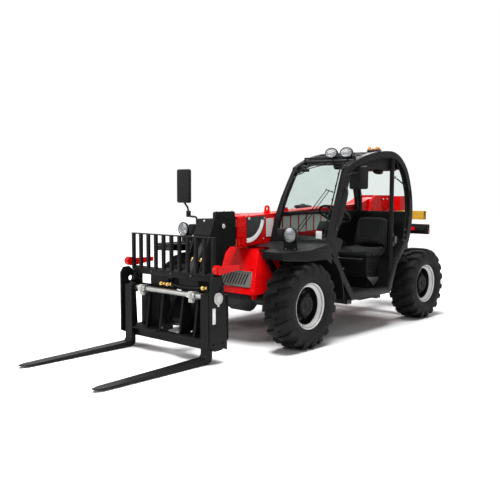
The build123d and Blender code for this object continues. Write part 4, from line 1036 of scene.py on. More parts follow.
for side, sign in bothSides:
    x = sign * 0.735
    roundLamp(at(x, -0.148, 1.098), (0, -1, 0), lampSpec["headlampRadius"], 0.07, "headlamp_" + side)
    boxLow, boxHigh = sorted((sign * 0.572, sign * 0.655))
    housing = shellBox(at(boxLow, -0.146, 1.04), at(boxHigh, -0.062, 1.156), 0.01, 3, (1, -1), 0.008)
    window = shellBox(at(boxLow + 0.012, -0.149, 1.056), at(boxHigh - 0.012, -0.138, 1.14), 0.005, 2)
    place(window, "side_lamp_" + side, "plastic", slot="lamp_lens")
    bracket = [sidePlate([(-0.116, 0.957), (-0.102, 0.957), (-0.102, 1.052), (-0.116, 1.052)], sign * 0.634,
        sign * 0.792, 0.003), block(at(sign * 0.63, -0.14, 0.956), at(sign * 0.8, -0.078, 0.963), 0.002),
        block(at(sign * 0.676, -0.12, 1.078), at(sign * 0.7, -0.095, 1.118), 0.003)]
    mount = joined([housing] + bracket)
    place(mount, "headlamp_housing_" + side, "plastic")
    place(bolts([at(sign * 0.66, -0.109, 0.963), at(sign * 0.77, -0.109, 0.963)], (0, 0, 1), 0.008, 0.005),
        "headlamp_bolts_" + side, "zinc")
    if side == "left":
        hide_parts("headlamps")

rail = bar(at(0.166, 0.818, 1.867), at(0.819, 0.818, 1.867), 0.009, 20, 0.002)
feet = [sidePlate([(0.806, 1.834), (0.83, 1.839), (0.824, 1.872), (0.812, 1.872)], x - 0.008, x + 0.008,
    0.002) for x in (0.175, 0.81)]
hoops = []
for number, x in enumerate((0.545, 0.733)):
    roundLamp(at(x, 0.776, 1.913), (0, -1, 0), lampSpec["workRadius"], 0.052, "work_lamp_%d" % number,
        wide=1.5)
    hoops.append(tube([at(x - 0.0815, 0.8, 1.913), at(x - 0.0815, 0.803, 1.868), at(x - 0.03, 0.806, 1.852),
        at(x + 0.03, 0.806, 1.852), at(x + 0.0815, 0.803, 1.868), at(x + 0.0815, 0.8, 1.913)], 0.005))
    hoops.append(bar(at(x, 0.808, 1.838), at(x, 0.808, 1.862), 0.01, 20, 0.002))
    place(tube([at(x, 0.826, 1.905), at(x, 0.842, 1.895), at(x + 0.01, 0.85, 1.872),
        at(x + 0.02, 0.845, 1.856)], 0.0035), "work_lamp_lead_%d" % number, "hose")
lampRail = joined([rail] + feet + hoops)
place(lampRail, "work_lamp_rail", "plastic")
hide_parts("work_lamps")

spot = footOf("beacon")
wide = lampSpec["beaconRadius"]
base = turnedPiece([(0, 0), (0, wide + 0.004), (0.004, wide + 0.0045), (0.01, wide + 0.003), (0.014, wide),
    (0.016, 0)], spot, (0, 0, 1), 64)
place(base, "beacon_base", "plastic")
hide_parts("beacon")
dome = turnedPiece([(0.014, wide - 0.003), (0.022, wide - 0.002), (0.036, wide - 0.006),
    (0.048, wide - 0.014), (0.055, wide - 0.03), (0.0572, wide * 0.3), (0.0576, 0)], spot, (0, 0, 1), 64)
ribs = [turnedPiece([(z, wide - 0.003), (z + 0.002, wide - 0.0012), (z + 0.004, wide - 0.003),
    (z + 0.002, wide - 0.006)], spot, (0, 0, 1), 64) for z in (0.018, 0.025)]
place([dome] + ribs, "beacon_dome", "amber")
place(bar(spot + Vector((0, 0, 0.017)), spot + Vector((0, 0, 0.045)), 0.014, 24, 0.003, 0.01),
    "beacon_lamp", "amber")

tailLow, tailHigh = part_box("tail_lamps")
for side, sign in bothSides:
    low, high = sorted((sign * 0.44, sign * 0.7))
    body = shellBox((low, tailLow[1], 0.985), (high, tailHigh[1] - 0.01, 1.11), 0.01, 3, (1, 1), 0.006)
    foot = block((low + 0.02, tailLow[1] - 0.012, 1.02), (high - 0.05, tailLow[1] + 0.004, 1.075), 0.003)
    body = joined([body, foot])
    place(body, "tail_lamp_housing_" + side, "plastic")
    if side == "left":
        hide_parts("tail_lamps")
    parts = [("tail_lens_", "tailRed", 0.45, 0.57), ("turn_lens_", "tailAmber", 0.573, 0.64),
        ("back_lens_", "lens", 0.643, 0.692)]
    for name, key, near, far in parts:
        corners = (sign * near, tailHigh[1] - 0.016, 0.994), (sign * far, tailHigh[1], 1.101)
        place(shellBox(*corners, 0.007, 3), name + side, key)
    # dark red marker on the outer end
    corners = (sign * 0.6995, tailLow[1] + 0.008, 1), (sign * 0.703, tailHigh[1] - 0.014, 1.04)
    place(shellBox(*corners, 0.0015, 2), "tail_marker_" + side, "tailRed")
print("lamps made")

# mirrors: rounded shells, glass towards the driver, and bent arms
# side, middle (x, behind, z), width, height
mirrorRows = [("left", 0.836, 0.861, 1.655, 0.196, 0.24), ("right", -0.7, -0.165, 1.562, 0.2, 0.36)]
for side, x, behind, z, wide, high in mirrorRows:
    shell = shellBox(at(x - wide / 2, behind - 0.023, z - high / 2),
        at(x + wide / 2, behind + 0.023, z + high / 2), 0.021, 5, (1, 1), 0.008)
    clamp = block(at(x - 0.022, behind - 0.0225, z - 0.03), at(x + 0.022, behind - 0.01, z + 0.03), 0.005)
    if side == "left":
        arm = tube([at(0.872, 0.603, 1.668), at(0.873, 0.64, 1.69), at(0.87, 0.74, 1.7),
            at(0.862, 0.825, 1.69), at(0.852, 0.842, 1.665)], 0.0085)
        foot = block(at(0.8612, 0.585, 1.655), at(0.872, 0.621, 1.681), 0.003)
        ball = bar(at(0.85, 0.828, 1.65), at(0.85, 0.842, 1.66), 0.016, 24, 0.004)
    else:
        arm = tube([at(-0.52, -0.15, 0.957), at(-0.52, -0.15, 1.19), at(-0.522, -0.15, 1.232),
            at(-0.56, -0.15, 1.238), at(-0.632, -0.15, 1.24), at(-0.648, -0.15, 1.262),
            at(-0.652, -0.152, 1.33), at(-0.68, -0.158, 1.362), at(-0.698, -0.17, 1.398)], 0.0105)
        foot = joined([bar(at(-0.52, -0.15, 0.956), at(-0.52, -0.15, 0.966), 0.034, 32, 0.003),
            bar(at(-0.52, -0.15, 0.964), at(-0.52, -0.15, 1.02), 0.016, 24, 0.003)])
        ball = block(at(-0.664, -0.172, 1.232), at(-0.63, -0.128, 1.3), 0.006)
    glass = shellBox(at(x - wide / 2 + 0.01, behind + 0.0155, z - high / 2 + 0.01),
        at(x + wide / 2 - 0.01, behind + 0.0195, z + high / 2 - 0.01), 0.0015, 2)
    if side == "left":
        # turned so that the glass faces the driver
        turn = Matrix.Rotation(radians(20), 4, "Z")
        middle = at(x, behind, z)
        for piece in (shell, clamp, glass):
            piece.data.transform(Matrix.Translation(middle) @ turn @ Matrix.Translation(-middle))
    made = joined([shell, clamp, arm, foot, ball])
    place(made, "mirror_shell_" + side, "plastic")
    if side == "left":
        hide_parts("mirrors")
    place(glass, "mirror_glass_" + side, "mirror")
print("mirrors made")

# windscreen, its seals and the wiper
# the far front pillar bows forward; each row is height and how far behind the straight edge it lies
pillarBow = [(0.93, 0), (1, -0.05), (1.16, -0.066), (1.29, -0.07), (1.45, -0.051), (1.61, -0.012),
    (1.74, 0.026), (1.8, 0.018), (1.87, 0)]
pillarShape = {"foot": (0.33, 0.96), "lean": 0.385, "inset": 0.045}


def frontEdge(z):
    behind, foot = pillarShape["foot"]
    return behind + (z - foot) * pillarShape["lean"]


def paneEdge(z):
    return frontEdge(z) + pillarShape["inset"], z


def bowAt(x, z):
    # how far the wall lies behind or in front of its straight line; nothing at the door side
    share = min(1, max(0, (0.8 - x) / 0.65))
    for (lowZ, lowBow), (highZ, highBow) in zip(pillarBow, pillarBow[1:]):
        if lowZ <= z <= highZ:
            return share * (lowBow + (highBow - lowBow) * (z - lowZ) / (highZ - lowZ))
    return 0


def bowed(obj, everywhere=False):
    for vertex in obj.data.vertices:
        depth = vertex.co.y - frontAxleY - frontEdge(vertex.co.z)
        near = 1 if everywhere else min(1, max(0, 1 - (depth - 0.075) / 0.16))
        vertex.co.y += bowAt(vertex.co.x, vertex.co.z) * near
    return obj


wallOut = Vector((0, -0.805, 0.31)).normalized()


def onScreen(x, z, off=0):
    # a point on the front wall's outer face at this height, moved outwards by off
    return at(x, 0.33 + (z - 0.96) * 0.31 / 0.805, z) + wallOut * off


# the glass runs over the brow to the roof's front edge
glassLine = [(0.37 + 0.247 * n / 10, 1.0165 + 0.6925 * n / 10) for n in range(11)]
glassLine += [(0.634, 1.743), (0.656, 1.766), (0.69, 1.783), (0.74, 1.802), (0.799, 1.818)]


def glassEdge(paneBack, paneUp, browBack, browUp):
    # the glass line moved by one distance on the pane and by another over the brow
    pane = [(behind + paneBack, z + paneUp) for behind, z in glassLine[:12]]
    return pane + [(behind + browBack, z + browUp) for behind, z in glassLine[12:]]


glassBack = glassEdge(0.0048, -0.002, 0.001, -0.0052)
screen = bowed(sidePlate(glassLine + glassBack[::-1], 0.17, 0.797, 0), everywhere=True)
place(screen, "detail_windscreen", "glass")
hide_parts("windscreen")
sealLine = glassEdge(-0.01, 0.002, -0.004, 0.008) + glassEdge(0.01, -0.004, 0.004, -0.01)[::-1]
seals = [sidePlate(sealLine, *ends, 0.0015) for ends in ((0.165, 0.176), (0.786, 0.7975))]
seals.append(block(at(0.1835, 0.362, 1.012), at(0.7975, 0.38, 1.026), 0.002))
seals.append(block(at(0.1835, 0.788, 1.809), at(0.7975, 0.8, 1.83), 0.002))
place(bowed(joined(seals), everywhere=True), "windscreen_gasket", "gasket")
arms = [bar(onScreen(0.372, 1.046, 0.016), onScreen(0.668, 1.52, 0.02), 0.0042, 12, 0.001),
    bar(onScreen(0.415, 1.04, 0.016), onScreen(0.705, 1.512, 0.02), 0.0042, 12, 0.001),
    bar(onScreen(0.658, 1.523, 0.02), onScreen(0.742, 1.5, 0.02), 0.0055, 12, 0.001)]
for x in (0.372, 0.415):
    arms.append(bar(onScreen(x, 1.044, 0), onScreen(x, 1.044, 0.026), 0.011, 24, 0.003))
arms.append(block(onScreen(0.345, 1.02, -0.002), onScreen(0.44, 1.024, 0.012), 0.003))
arms.append(bar(onScreen(0.742, 1.502, 0.017), onScreen(0.75, 1.495, 0.01), 0.008, 16, 0.002))
place(arms, "wiper_arm", "plastic")
bladeLow, bladeHigh = onScreen(0.765, 1.045, 0.011), onScreen(0.765, 1.735, 0.011)
spine = bar(bladeLow, bladeHigh, 0.0055, 12, 0.001)
claws = []
for share in (0.12, 0.32, 0.55, 0.75, 0.93):
    spot = bladeLow.lerp(bladeHigh, share)
    claws.append(block(spot + Vector((-0.008, -0.008, -0.01)), spot + Vector((0.008, 0.004, 0.01)), 0.002))
rubber = plate([bladeLow + Vector((-0.003, 0, 0)), bladeLow + Vector((0.003, 0, 0)),
    bladeHigh + Vector((0.003, 0, 0)), bladeHigh + Vector((-0.003, 0, 0))], wallOut * -0.01, 0)
place([spine, rubber] + claws, "wiper_blade", "gasket")

# doorway seal
doorLine = [(0.77, 0.458), (0.56, 0.69), (0.401, 0.965), (0.7, 1.715), (0.9, 1.79), (1.2, 1.858),
    (1.445, 1.883), (1.64, 1.84), (1.79, 1.7), (1.826, 1.62), (1.88, 1.42), (1.9, 1.27), (1.822, 0.95),
    (1.59, 0.722), (1.462, 0.458)]
place(tubeLoop([at(0.822, behind, z) for behind, z in doorLine], 0.007), "doorway_seal", "gasket")

# cab shell: the frame with its lower side window cut through, and softened edges
paneFaces = (0.144, 0.149)
cutFaces = (0.115, 0.18)
cabShell = nodeCopy("cab_frame")
lowerPane = [paneEdge(1.022), paneEdge(1.142),
    paneEdge(1.262), (1.33, 1.262), (1.4, 1.19), (1.4, 1.06), (1.36, 1.022)]
cutAway(cabShell, sidePlate(lowerPane, *cutFaces, 0))
cutter = block(at(0.1825, 0.56, 1.7), at(0.7985, 0.8, 1.96), 0)
sliver = [paneEdge(z) for z in (1.292, 1.42, 1.55, 1.66, 1.7)] + [(0.76, 1.7), (0.715, 1.68),
    (0.56, 1.292)]
cutAway(cabShell, joined([cutter, sidePlate(sliver, *cutFaces, 0)]))
editing(cabShell)
bpy.ops.mesh.dissolve_limited(angle_limit=radians(2))
# rows of points where the pillar bows
for z in (1, 1.08, 1.16, 1.29, 1.37, 1.45, 1.53, 1.61, 1.68, 1.74):
    bpy.ops.mesh.select_all(action="SELECT")
    bpy.ops.mesh.bisect(plane_co=(0, 0, z), plane_no=(0, 0, 1))
bpy.ops.object.mode_set(mode="OBJECT")
bowed(cabShell)
settle(bevelled(cabShell, 0.0035, 2, 32), smooth=40)
place(cabShell, "detail_cab_frame", "black")
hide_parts("cab_frame")
place(bowed(sidePlate(lowerPane, *paneFaces, 0)), "lower_side_pane", "glass")
place(bowed(tubeLoop([at(0.171, behind, z) for behind, z in lowerPane], 0.007)), "lower_pane_seal",
    "gasket")
upperPane = [paneEdge(z) for z in (1.292, 1.37, 1.45, 1.53, 1.61, 1.68)] + [(0.76, 1.706),
    (0.9, 1.762), (1.2, 1.828), (1.445, 1.857), (1.64, 1.815), (1.77, 1.69), (1.802, 1.625), (1.858, 1.42),
    (1.872, 1.292)]
sidePane = bowed(sidePlate(upperPane, *paneFaces, 0))
place(sidePane, "detail_side_window", "glass")
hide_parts("side_window")
place(bowed(tubeLoop([at(0.171, behind, z) for behind, z in upperPane], 0.006)), "side_pane_seal", "gasket")

# roof: door header, liner, speaker, inside mirror, lamp and cable
doorTop = sidePlate([(0.9, 1.752), (1.62, 1.752), (1.62, 1.85), (1.5, 1.88), (1.3, 1.886), (1.1, 1.85),
    (0.96, 1.815), (0.9, 1.795)], 0.79, 0.806, 0.003)
place(doorTop, "door_header", "gasket")
liner = sidePlate([(1.345, 1.868), (1.445, 1.888), (1.6, 1.832), (1.7, 1.745), (1.64, 1.742), (1.56, 1.762),
    (1.37, 1.765), (1.345, 1.79)], 0.174, 0.8, 0.01, 3)
place(liner, "roof_liner", "gasket")
speaker = turnedPiece([(0, 0), (0, 0.05), (0.006, 0.056), (0.03, 0.058), (0.042, 0.05), (0.046, 0.04),
    (0.044, 0)], at(0.6, 1.63, 1.762), (0, -0.25, -1), 40)
grille = [turnedPiece([(0.0445, r), (0.047, r), (0.047, r - 0.003), (0.0445, r - 0.003)],
    at(0.6, 1.63, 1.762), (0, -0.25, -1), 40) for r in (0.012, 0.021, 0.03, 0.038)]
place([speaker] + grille, "roof_speaker", "plastic")
visor = shellBox(at(0.245, 0.655, 1.716), at(0.345, 0.672, 1.752), 0.006, 3, (1, 1), 0.004)
stem = bar(at(0.295, 0.668, 1.745), at(0.295, 0.69, 1.775), 0.005, 16, 0.001)
place([visor, stem], "inside_mirror", "plastic")
lamp = turnedPiece([(0, 0), (0, 0.04), (0.008, 0.038), (0.014, 0.028), (0.016, 0)], at(0.42, 1.45, 1.765),
    (0, 0, -1), 40)
place(lamp, "cab_lamp", "lens")
hoseRun = tube([at(0.195, 0.9, 1.842), at(0.195, 1.1, 1.862), at(0.196, 1.3, 1.864),
    at(0.198, 1.345, 1.85)], 0.006)
place(hoseRun, "roof_cable", "hose")

# cab fittings on the door side
cabSide = 0.8605
place(tube([at(0.838, 1.6, 1.668), at(0.84, 1.742, 1.612), at(0.838, 1.878, 1.556)], 0.0075, smooth=False),
    "quarter_strut", "plastic")
place([block(at(0.828, 1.59, 1.655), at(0.85, 1.614, 1.682), 0.003),
    block(at(0.828, 1.866, 1.543), at(0.85, 1.892, 1.57), 0.003)], "quarter_strut_ends", "zinc")
handle = tube([at(0.862, 0.44, 1.15), at(0.885, 0.449, 1.165), at(0.893, 0.485, 1.255),
    at(0.893, 0.555, 1.435), at(0.885, 0.59, 1.52), at(0.862, 0.599, 1.54)], 0.01)
place(handle, "grab_handle_front", "plastic")
place([block(at(cabSide, 0.424, 1.132), at(0.866, 0.458, 1.17), 0.002),
    block(at(cabSide, 0.582, 1.522), at(0.866, 0.616, 1.56), 0.002)], "grab_handle_feet", "cast")
latch = [block(at(0.806, 1.56, 0.905), at(0.836, 1.6, 0.955), 0.004),
    block(at(0.81, 1.6, 0.918), at(0.832, 1.64, 0.93), 0.002),
    block(at(0.806, 1.565, 1.01), at(0.836, 1.598, 1.05), 0.004)]
place(latch, "door_striker", "cast")
place(bolts([at(cabSide, 1.8, 1.085), at(cabSide, 1.79, 1.02), at(cabSide, 1.776, 0.965),
    at(cabSide, 0.47, 0.862), at(cabSide, 0.56, 0.735), at(cabSide, 0.64, 0.56)], (1, 0, 0), 0.009, 0.006),
    "cab_side_bolts", "cast")
hinges = []
for z in (0.76, 1.48):
    behind = 1.84 if z < 1 else 1.905
    hinges.append(bar(at(0.872, behind - 0.02, z - 0.045), at(0.872, behind - 0.02, z + 0.045), 0.01, 24,
        0.002))
    hinges.append(block(at(cabSide, behind - 0.055, z - 0.038), at(0.869, behind - 0.012, z + 0.038), 0.002))
place(hinges, "door_hinges", "black")
step = block(at(0.7, 0.9, 0.372), at(0.85, 1.25, 0.384), 0.003)
ribs = [block(at(0.712, 0.915 + 0.037 * n, 0.384), at(0.838, 0.927 + 0.037 * n, 0.3885), 0.0015, 1)
    for n in range(9)]
place([step] + ribs, "entry_tread", "black")
mat = block(at(0.18, 0.64, 0.4355), at(0.8, 1.29, 0.443), 0.003)
ribs = [block(at(0.2, 0.67 + 0.043 * n, 0.443), at(0.78, 0.682 + 0.043 * n, 0.446), 0.001, 1)
    for n in range(14)]
place([mat] + ribs, "floor_mat", "gasket")
place(plate([at(0.69, 1.285, 0.572), at(0.69, 1.548, 0.552), at(0.69, 1.42, 0.452)], (0.004, 0, 0), 0.001),
    "seat_side_plate", "grilleGrey")
place(block(at(0.652, 0.376, 1.036), at(0.724, 0.381, 1.112), 0.002), "blank_window_label", "label")
place(block(at(0.806, 1.668, 0.93), at(0.81, 1.715, 1.01), 0.001), "blank_post_label", "grilleGrey",
    slot="dial_white")

# boom: pale blank panels, dial arc, collar, wear pads and bolts
boomSlope = 0.0524  # rise per metre rearwards
panels = []
for n in range(8):
    front = 0.236 + 0.14 * n
    base = 1.102 + (front + 0.19) * boomSlope
    panels.append(sidePlate([(front, base - 0.088), (front + 0.118, base - 0.088 + 0.118 * boomSlope),
        (front + 0.118, base + 0.102 + 0.118 * boomSlope), (front, base + 0.102)], 0.1152, 0.116, 0))
place(panels, "blank_boom_panels", "panelPale", "boom")
arc = {"centre": (-0.058, 1.25), "inner": 0.215, "outer": 0.262, "from": -8, "to": -92}


def arcPoint(radius, degrees):
    behind, z = arc["centre"]
    return behind + radius * cos(radians(degrees)), z + radius * sin(radians(degrees))


sweep = [arc["from"] + (arc["to"] - arc["from"]) * n / 28 for n in range(29)]
band = [arcPoint(arc["outer"], a) for a in sweep] + [arcPoint(arc["inner"], a) for a in reversed(sweep)]
place(sidePlate(band, 0.1162, 0.1172, 0), "dial_arc", "dialMark", "boom")
ticks = []
for n in range(17):
    a = arc["from"] - 2 + (arc["to"] - arc["from"] + 4) * n / 16
    short = 0.012 if n % 4 else 0.026
    first, second = arcPoint(arc["outer"] - 0.003, a - 0.22), arcPoint(arc["outer"] - 0.003, a + 0.22)
    third, fourth = arcPoint(arc["outer"] - short, a + 0.22), arcPoint(arc["outer"] - short, a - 0.22)
    ticks.append(sidePlate([first, second, third, fourth], 0.1172, 0.1177, 0))
place(ticks, "dial_ticks", "dialFace", "boom")
place(turnedPiece([(0, 0), (0, 0.016), (0.004, 0.016), (0.006, 0.013), (0.006, 0)],
    at(0.1162, -0.03, 1.232), (1, 0, 0), 32), "dial_screw", "zinc", "boom")
place(bolts([at(0.1162, -0.045, 1), at(0.1162, 0.195, 1.02), at(0.1162, 0.205, 1.235)], (1, 0, 0), 0.007,
    0.004), "dial_bolts", "zinc", "boom")
collarLine = [(-0.204, 0.956), (-0.12, 0.962), (-0.12, 1.262), (-0.204, 1.254)]
collar = [sidePlate(collarLine, sign * 0.1152, sign * 0.1192, 0.0015) for sign in (1, -1)]
place(collar, "boom_collar", "red", "boom")
spots = [at(0.1192, -0.185, z) for z in (0.975, 1.06, 1.15, 1.235)]
spots += [at(0.1192, -0.14, z) for z in (0.98, 1.065, 1.155, 1.24)]
place(bolts(spots, (1, 0, 0), 0.009, 0.006), "collar_bolts_left", "red", "boom")
pads = [block(at(sign * 0.0905, -0.212, z - 0.035), at(sign * 0.1045, -0.2045, z + 0.035), 0.002)
    for sign in (1, -1) for z in (1, 1.19)]
place(pads, "wear_pads", "brass", "boom")
spots = [at(x, 0.01 + 0.45 * n, 1.2635 + boomSlope * (0.45 * n)) for n in range(5) for x in (-0.07, 0.07)]
place(bolts(spots, (0, 0, 1), 0.008, 0.004), "boom_top_bolts", "red", "boom")

for side, sign in bothSides:
    cap = turnedPiece([(0, 0), (0, 0.058), (0.008, 0.058), (0.012, 0.054), (0.012, 0.02), (0.008, 0.016),
        (0.008, 0)], at(sign * 0.1472, 2.54, 1.36), (sign, 0, 0), 48)
    keeper = block(at(sign * 0.1472, 2.47, 1.405), at(sign * 0.16, 2.61, 1.432), 0.003)
    place([cap, keeper], "boom_pin_cap_" + side, "red")
    place(bolts([at(sign * 0.16, 2.49, 1.4185), at(sign * 0.16, 2.59, 1.4185)], (sign, 0, 0), 0.008, 0.005),
        "boom_pin_bolts_" + side, "zinc")

# head on the inner boom: pin caps, keyhole slot, bolt and short hoses
for side, sign in bothSides:
    cap = turnedPiece([(0, 0), (0, 0.021), (0.003, 0.021), (0.006, 0.018), (0.006, 0)],
        at(sign * 0.1232, -0.41, 1.168), (sign, 0, 0), 40)
    place(cap, "head_pin_cap_" + side, "palePaint", "boom_extension", slot="bright_steel")
    place(bolts([at(sign * 0.1152, -0.505, 1.19), at(sign * 0.1152, -0.3, 1.19),
        at(sign * 0.1152, -0.56, 1.02)], (sign, 0, 0), 0.008, 0.005), "head_bolts_" + side, "black",
        "boom_extension")
faceOut = Vector((0, -0.164, 0.065)).normalized()


def onFace(x, z, off=0):
    # a point on the sloping front of the head, moved outwards by off
    return at(x, -0.525 - (1.24 - z) * 0.065 / 0.164, z) + faceOut * off


slotLine = ((-0.016, 1.14), (-0.004, 1.14), (0.002, 1.178), (-0.01, 1.178))
slotFoot = plate([onFace(x, z, 0.0002) for x, z in slotLine], faceOut * 0.0012, 0)
slotEye = turnedPiece([(0, 0), (0, 0.012), (0.0013, 0.012), (0.0013, 0)], onFace(-0.005, 1.178, 0.0002),
    faceOut, 24)
place([slotFoot, slotEye], "head_keyhole", "gasket", "boom_extension")
place(bolts([onFace(-0.014, 1.22)], faceOut, 0.009, 0.006), "head_face_bolt", "zinc", "boom_extension")
lipLine = ((-0.116, 1.08), (0.116, 1.08), (0.116, 1.09), (-0.116, 1.09))
lip = plate([onFace(x, z) for x, z in lipLine], faceOut * 0.006, 0.002)
place(lip, "head_face_lip", "black", "boom_extension")
guardBolts = [at(0.08, behind, 1.3105) for behind in (-0.47, -0.36, -0.25)]
place(bolts(guardBolts, (0, 0, 1), 0.008, 0.005), "hose_guard_bolts", "zinc", "boom_extension")
for number, x in enumerate((-0.072, -0.046, 0.046, 0.072)):
    hose = tube([at(x, -0.3, 1.222), at(x, -0.4, 1.215), at(x * 1.02, -0.47, 1.18),
        at(x * 1.05, -0.52, 1.08), at(x * 1.05, -0.56, 0.96), at(x * 1.02, -0.64, 0.85)], 0.01)
    place(hose, "head_hose_%d" % number, "hose", "boom_extension")
    place([bar(at(x * 1.02, -0.634, 0.86), at(x * 1.02, -0.646, 0.842), 0.013, 6, 0.001),
        bar(at(x * 1.02, -0.645, 0.843), at(x * 1.02, -0.655, 0.829), 0.01, 20, 0.001)],
        "head_hose_end_%d" % number, "brass", "boom_extension")
print("boom and head made")

# load guard: eleven flat bars between a top rail and a foot rail
guard = {"bars": 11, "half": 0.563, "barWidth": 0.036, "top": 1.104}
guardParts = []
for n in range(guard["bars"]):
    x = -guard["half"] + guard["barWidth"] / 2
    x = x + n * (2 * guard["half"] - guard["barWidth"]) / (guard["bars"] - 1)
    guardParts.append(block(at(x - guard["barWidth"] / 2, -0.988, 0.762),
        at(x + guard["barWidth"] / 2, -0.962, guard["top"] - 0.002), 0.004))
guardParts.append(block(at(-guard["half"], -0.99, guard["top"] - 0.012),
    at(guard["half"], -0.96, guard["top"]), 0.003))
guardParts.append(block(at(-guard["half"], -0.985, 0.712), at(guard["half"], -0.9505, 0.775), 0.004))
for x in (-0.535, 0, 0.535):
    guardParts.append(block(at(x - 0.028, -0.985, 0.7), at(x + 0.028, -0.9505, 0.716), 0.002))
guardPiece = joined(guardParts)
place(guardPiece, "detail_load_guard", "black", "carriage")
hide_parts("load_guard")
place(bolts([at(x, -0.985, 0.744) for x in (-0.54, -0.27, 0, 0.27, 0.54)], (0, -1, 0), 0.01, 0.006),
    "guard_bolts", "cast", "carriage")

# carriage: shaft ends, clamps, hose couplings, bolts and a blank plate
carriageSide, shaftPlace, shaftRadius = 0.6255, (-1, 0.578), 0.0262
for side, sign in bothSides:
    disc = turnedPiece([(0, 0), (0, 0.05), (0.005, 0.052), (0.01, 0.05), (0.012, 0.03), (0.014, 0.026),
        (0.014, 0)], at(sign * carriageSide, *shaftPlace), (sign, 0, 0), 48)
    tab = sidePlate([(-1.012, 0.53), (-0.988, 0.53), (-0.992, 0.508), (-1.008, 0.508)], sign * carriageSide,
        sign * 0.6315, 0.002)
    place([disc, tab], "shaft_disc_" + side, "palePaint", "carriage")
    place(bolts([at(sign * 0.6315, -1, 0.519)], (sign, 0, 0), 0.006, 0.004), "shaft_disc_bolt_" + side,
        "zinc", "carriage")
clampShape = [(-0.03, shaftRadius), (-0.03, 0.034), (0.03, 0.034), (0.03, shaftRadius)]
for number, x in enumerate((-0.382, 0.3)):
    ring = turnedPiece(clampShape, at(x, *shaftPlace), (1, 0, 0), 40)
    lug = block(at(x - 0.026, -1.048, 0.56), at(x + 0.026, -1.03, 0.604), 0.004)
    tail = block(at(x - 0.026, -1.024, 0.512), at(x + 0.026, -0.99, 0.548), 0.005)
    place([ring, lug, tail], "shaft_clamp_%d" % number, "palePaint", "carriage")
    place(bolts([at(x, -1.048, 0.594), at(x, -1.048, 0.57)], (0, -1, 0), 0.006, 0.004),
        "shaft_clamp_bolts_%d" % number, "zinc", "carriage")
for number, (x, z) in enumerate(((-0.118, 0.644), (-0.03, 0.644), (0.437, 0.65))):
    fitting = [bar(at(x - 0.03, -0.978, z), at(x + 0.03, -0.978, z), 0.014, 24, 0.002),
        bar(at(x, -0.952, z), at(x, -1, z), 0.017, 6, 0.002), bar(at(x, -0.996, z), at(x, -1.012, z), 0.012,
        24, 0.002), bar(at(x - 0.036, -0.978, z), at(x - 0.02, -0.978, z), 0.017, 6, 0.002),
        bar(at(x + 0.02, -0.978, z), at(x + 0.036, -0.978, z), 0.017, 6, 0.002)]
    place(fitting, "hose_coupling_%d" % number, "brass", "carriage")
place(tube([at(-0.085, -0.978, 0.644), at(-0.07, -0.978, 0.655), at(-0.06, -0.976, 0.64)], 0.006),
    "coupling_link", "hose", "carriage")
place(tube([at(0.402, -0.978, 0.65), at(0.33, -0.972, 0.64), at(0.2, -0.966, 0.632),
    at(0.06, -0.968, 0.636), at(0.006, -0.978, 0.644)], 0.007), "coupling_pipe", "hose", "carriage")
place(block(at(carriageSide, -1.068, 0.36), at(0.627, -1.03, 0.498), 0.001), "blank_carriage_label", "label",
    "carriage")
boltRows = ((-0.935, 0.7), (-0.935, 0.18), (-1.05, 0.18))
for side, sign in bothSides:
    spots = [at(sign * carriageSide, behind, z) for behind, z in boltRows]
    place(bolts(spots, (sign, 0, 0), 0.01, 0.006), "carriage_bolts_" + side, "black", "carriage")
    cap = turnedPiece([(0, 0), (0, 0.03), (0.006, 0.034), (0.01, 0.03), (0.012, 0)],
        at(sign * 0.6302, -0.985, 0.822), (sign, 0, 0), 40)
    place(cap, "lock_arm_cap_" + side, "red", "carriage")

# bent sheets in the darkest rubber finish, with their ribs, closing the carriage at the back behind its open
# gaps: painted shade where the gaps look dark
for side, sign in bothSides:
    near, far = sign * 0.135, sign * 0.598
    sheet = sidePlate([(-0.924, 0.598), (-0.838, 0.598), (-0.838, 0.196), (-0.924, 0.196), (-0.924, 0.2),
        (-0.842, 0.2), (-0.842, 0.594), (-0.924, 0.594)], near, far, 0.001, 1)
    floorPlate = block(at(near, -1.06, 0.19), at(far, -0.838, 0.2), 0.001)
    ribs = [plate([at(sign * x - 0.016, -0.842, 0.21), at(sign * x + 0.016, -0.842, 0.21),
        at(sign * x + 0.012, -0.842, 0.42), at(sign * x - 0.012, -0.842, 0.42)], (0, -0.006, 0), 0.002)
        for x in (0.335, 0.48)]
    # painted shade: dark sheets filling the gaps behind the carriage
    place([sheet, floorPlate] + ribs, "carriage_back_sheet_" + side, "gasket", "carriage",
        slot="black_paint")
place(bolts([at(x, -1.0265, 0.235) for x in (-0.073, 0.161)], (0, -1, 0), 0.01, 0.006),
    "carriage_front_bolts", "cast", "carriage")

# forks: hanger rings round the shaft and blank labels
forkMiddle = 0.525
ringShape = [(-0.008, shaftRadius), (-0.008, 0.04), (0.008, 0.04), (0.008, shaftRadius)]
for side, sign in bothSides:
    rings = [turnedPiece(ringShape, at(sign * forkMiddle + out, *shaftPlace), (1, 0, 0), 40)
        for out in (0.046, -0.046)]
    place(rings, "fork_hanger_rings_" + side, "black", "fork_" + side)
    low, high = at(sign * forkMiddle - 0.02, -1.0525, 0.1), at(sign * forkMiddle + 0.02, -1.0495, 0.17)
    place(block(low, high, 0.001), "blank_fork_label_" + side, "label", "fork_" + side)
print("carriage made")

# nose: a dark sheet behind the grille, painted shade in its slots; its trim and bolts
noseFace = {"low": 0.5, "high": 0.922, "lowBehind": -0.26, "highBehind": 0.015}


def onNose(x, z, off=0):
    # a point on the sloping front of the nose, moved outwards by off
    rise = noseFace["high"] - noseFace["low"]
    run = noseFace["highBehind"] - noseFace["lowBehind"]
    share = (z - noseFace["low"]) / rise
    behind = noseFace["lowBehind"] + share * run
    return at(x, behind, z) + Vector((0, -rise, run)).normalized() * off
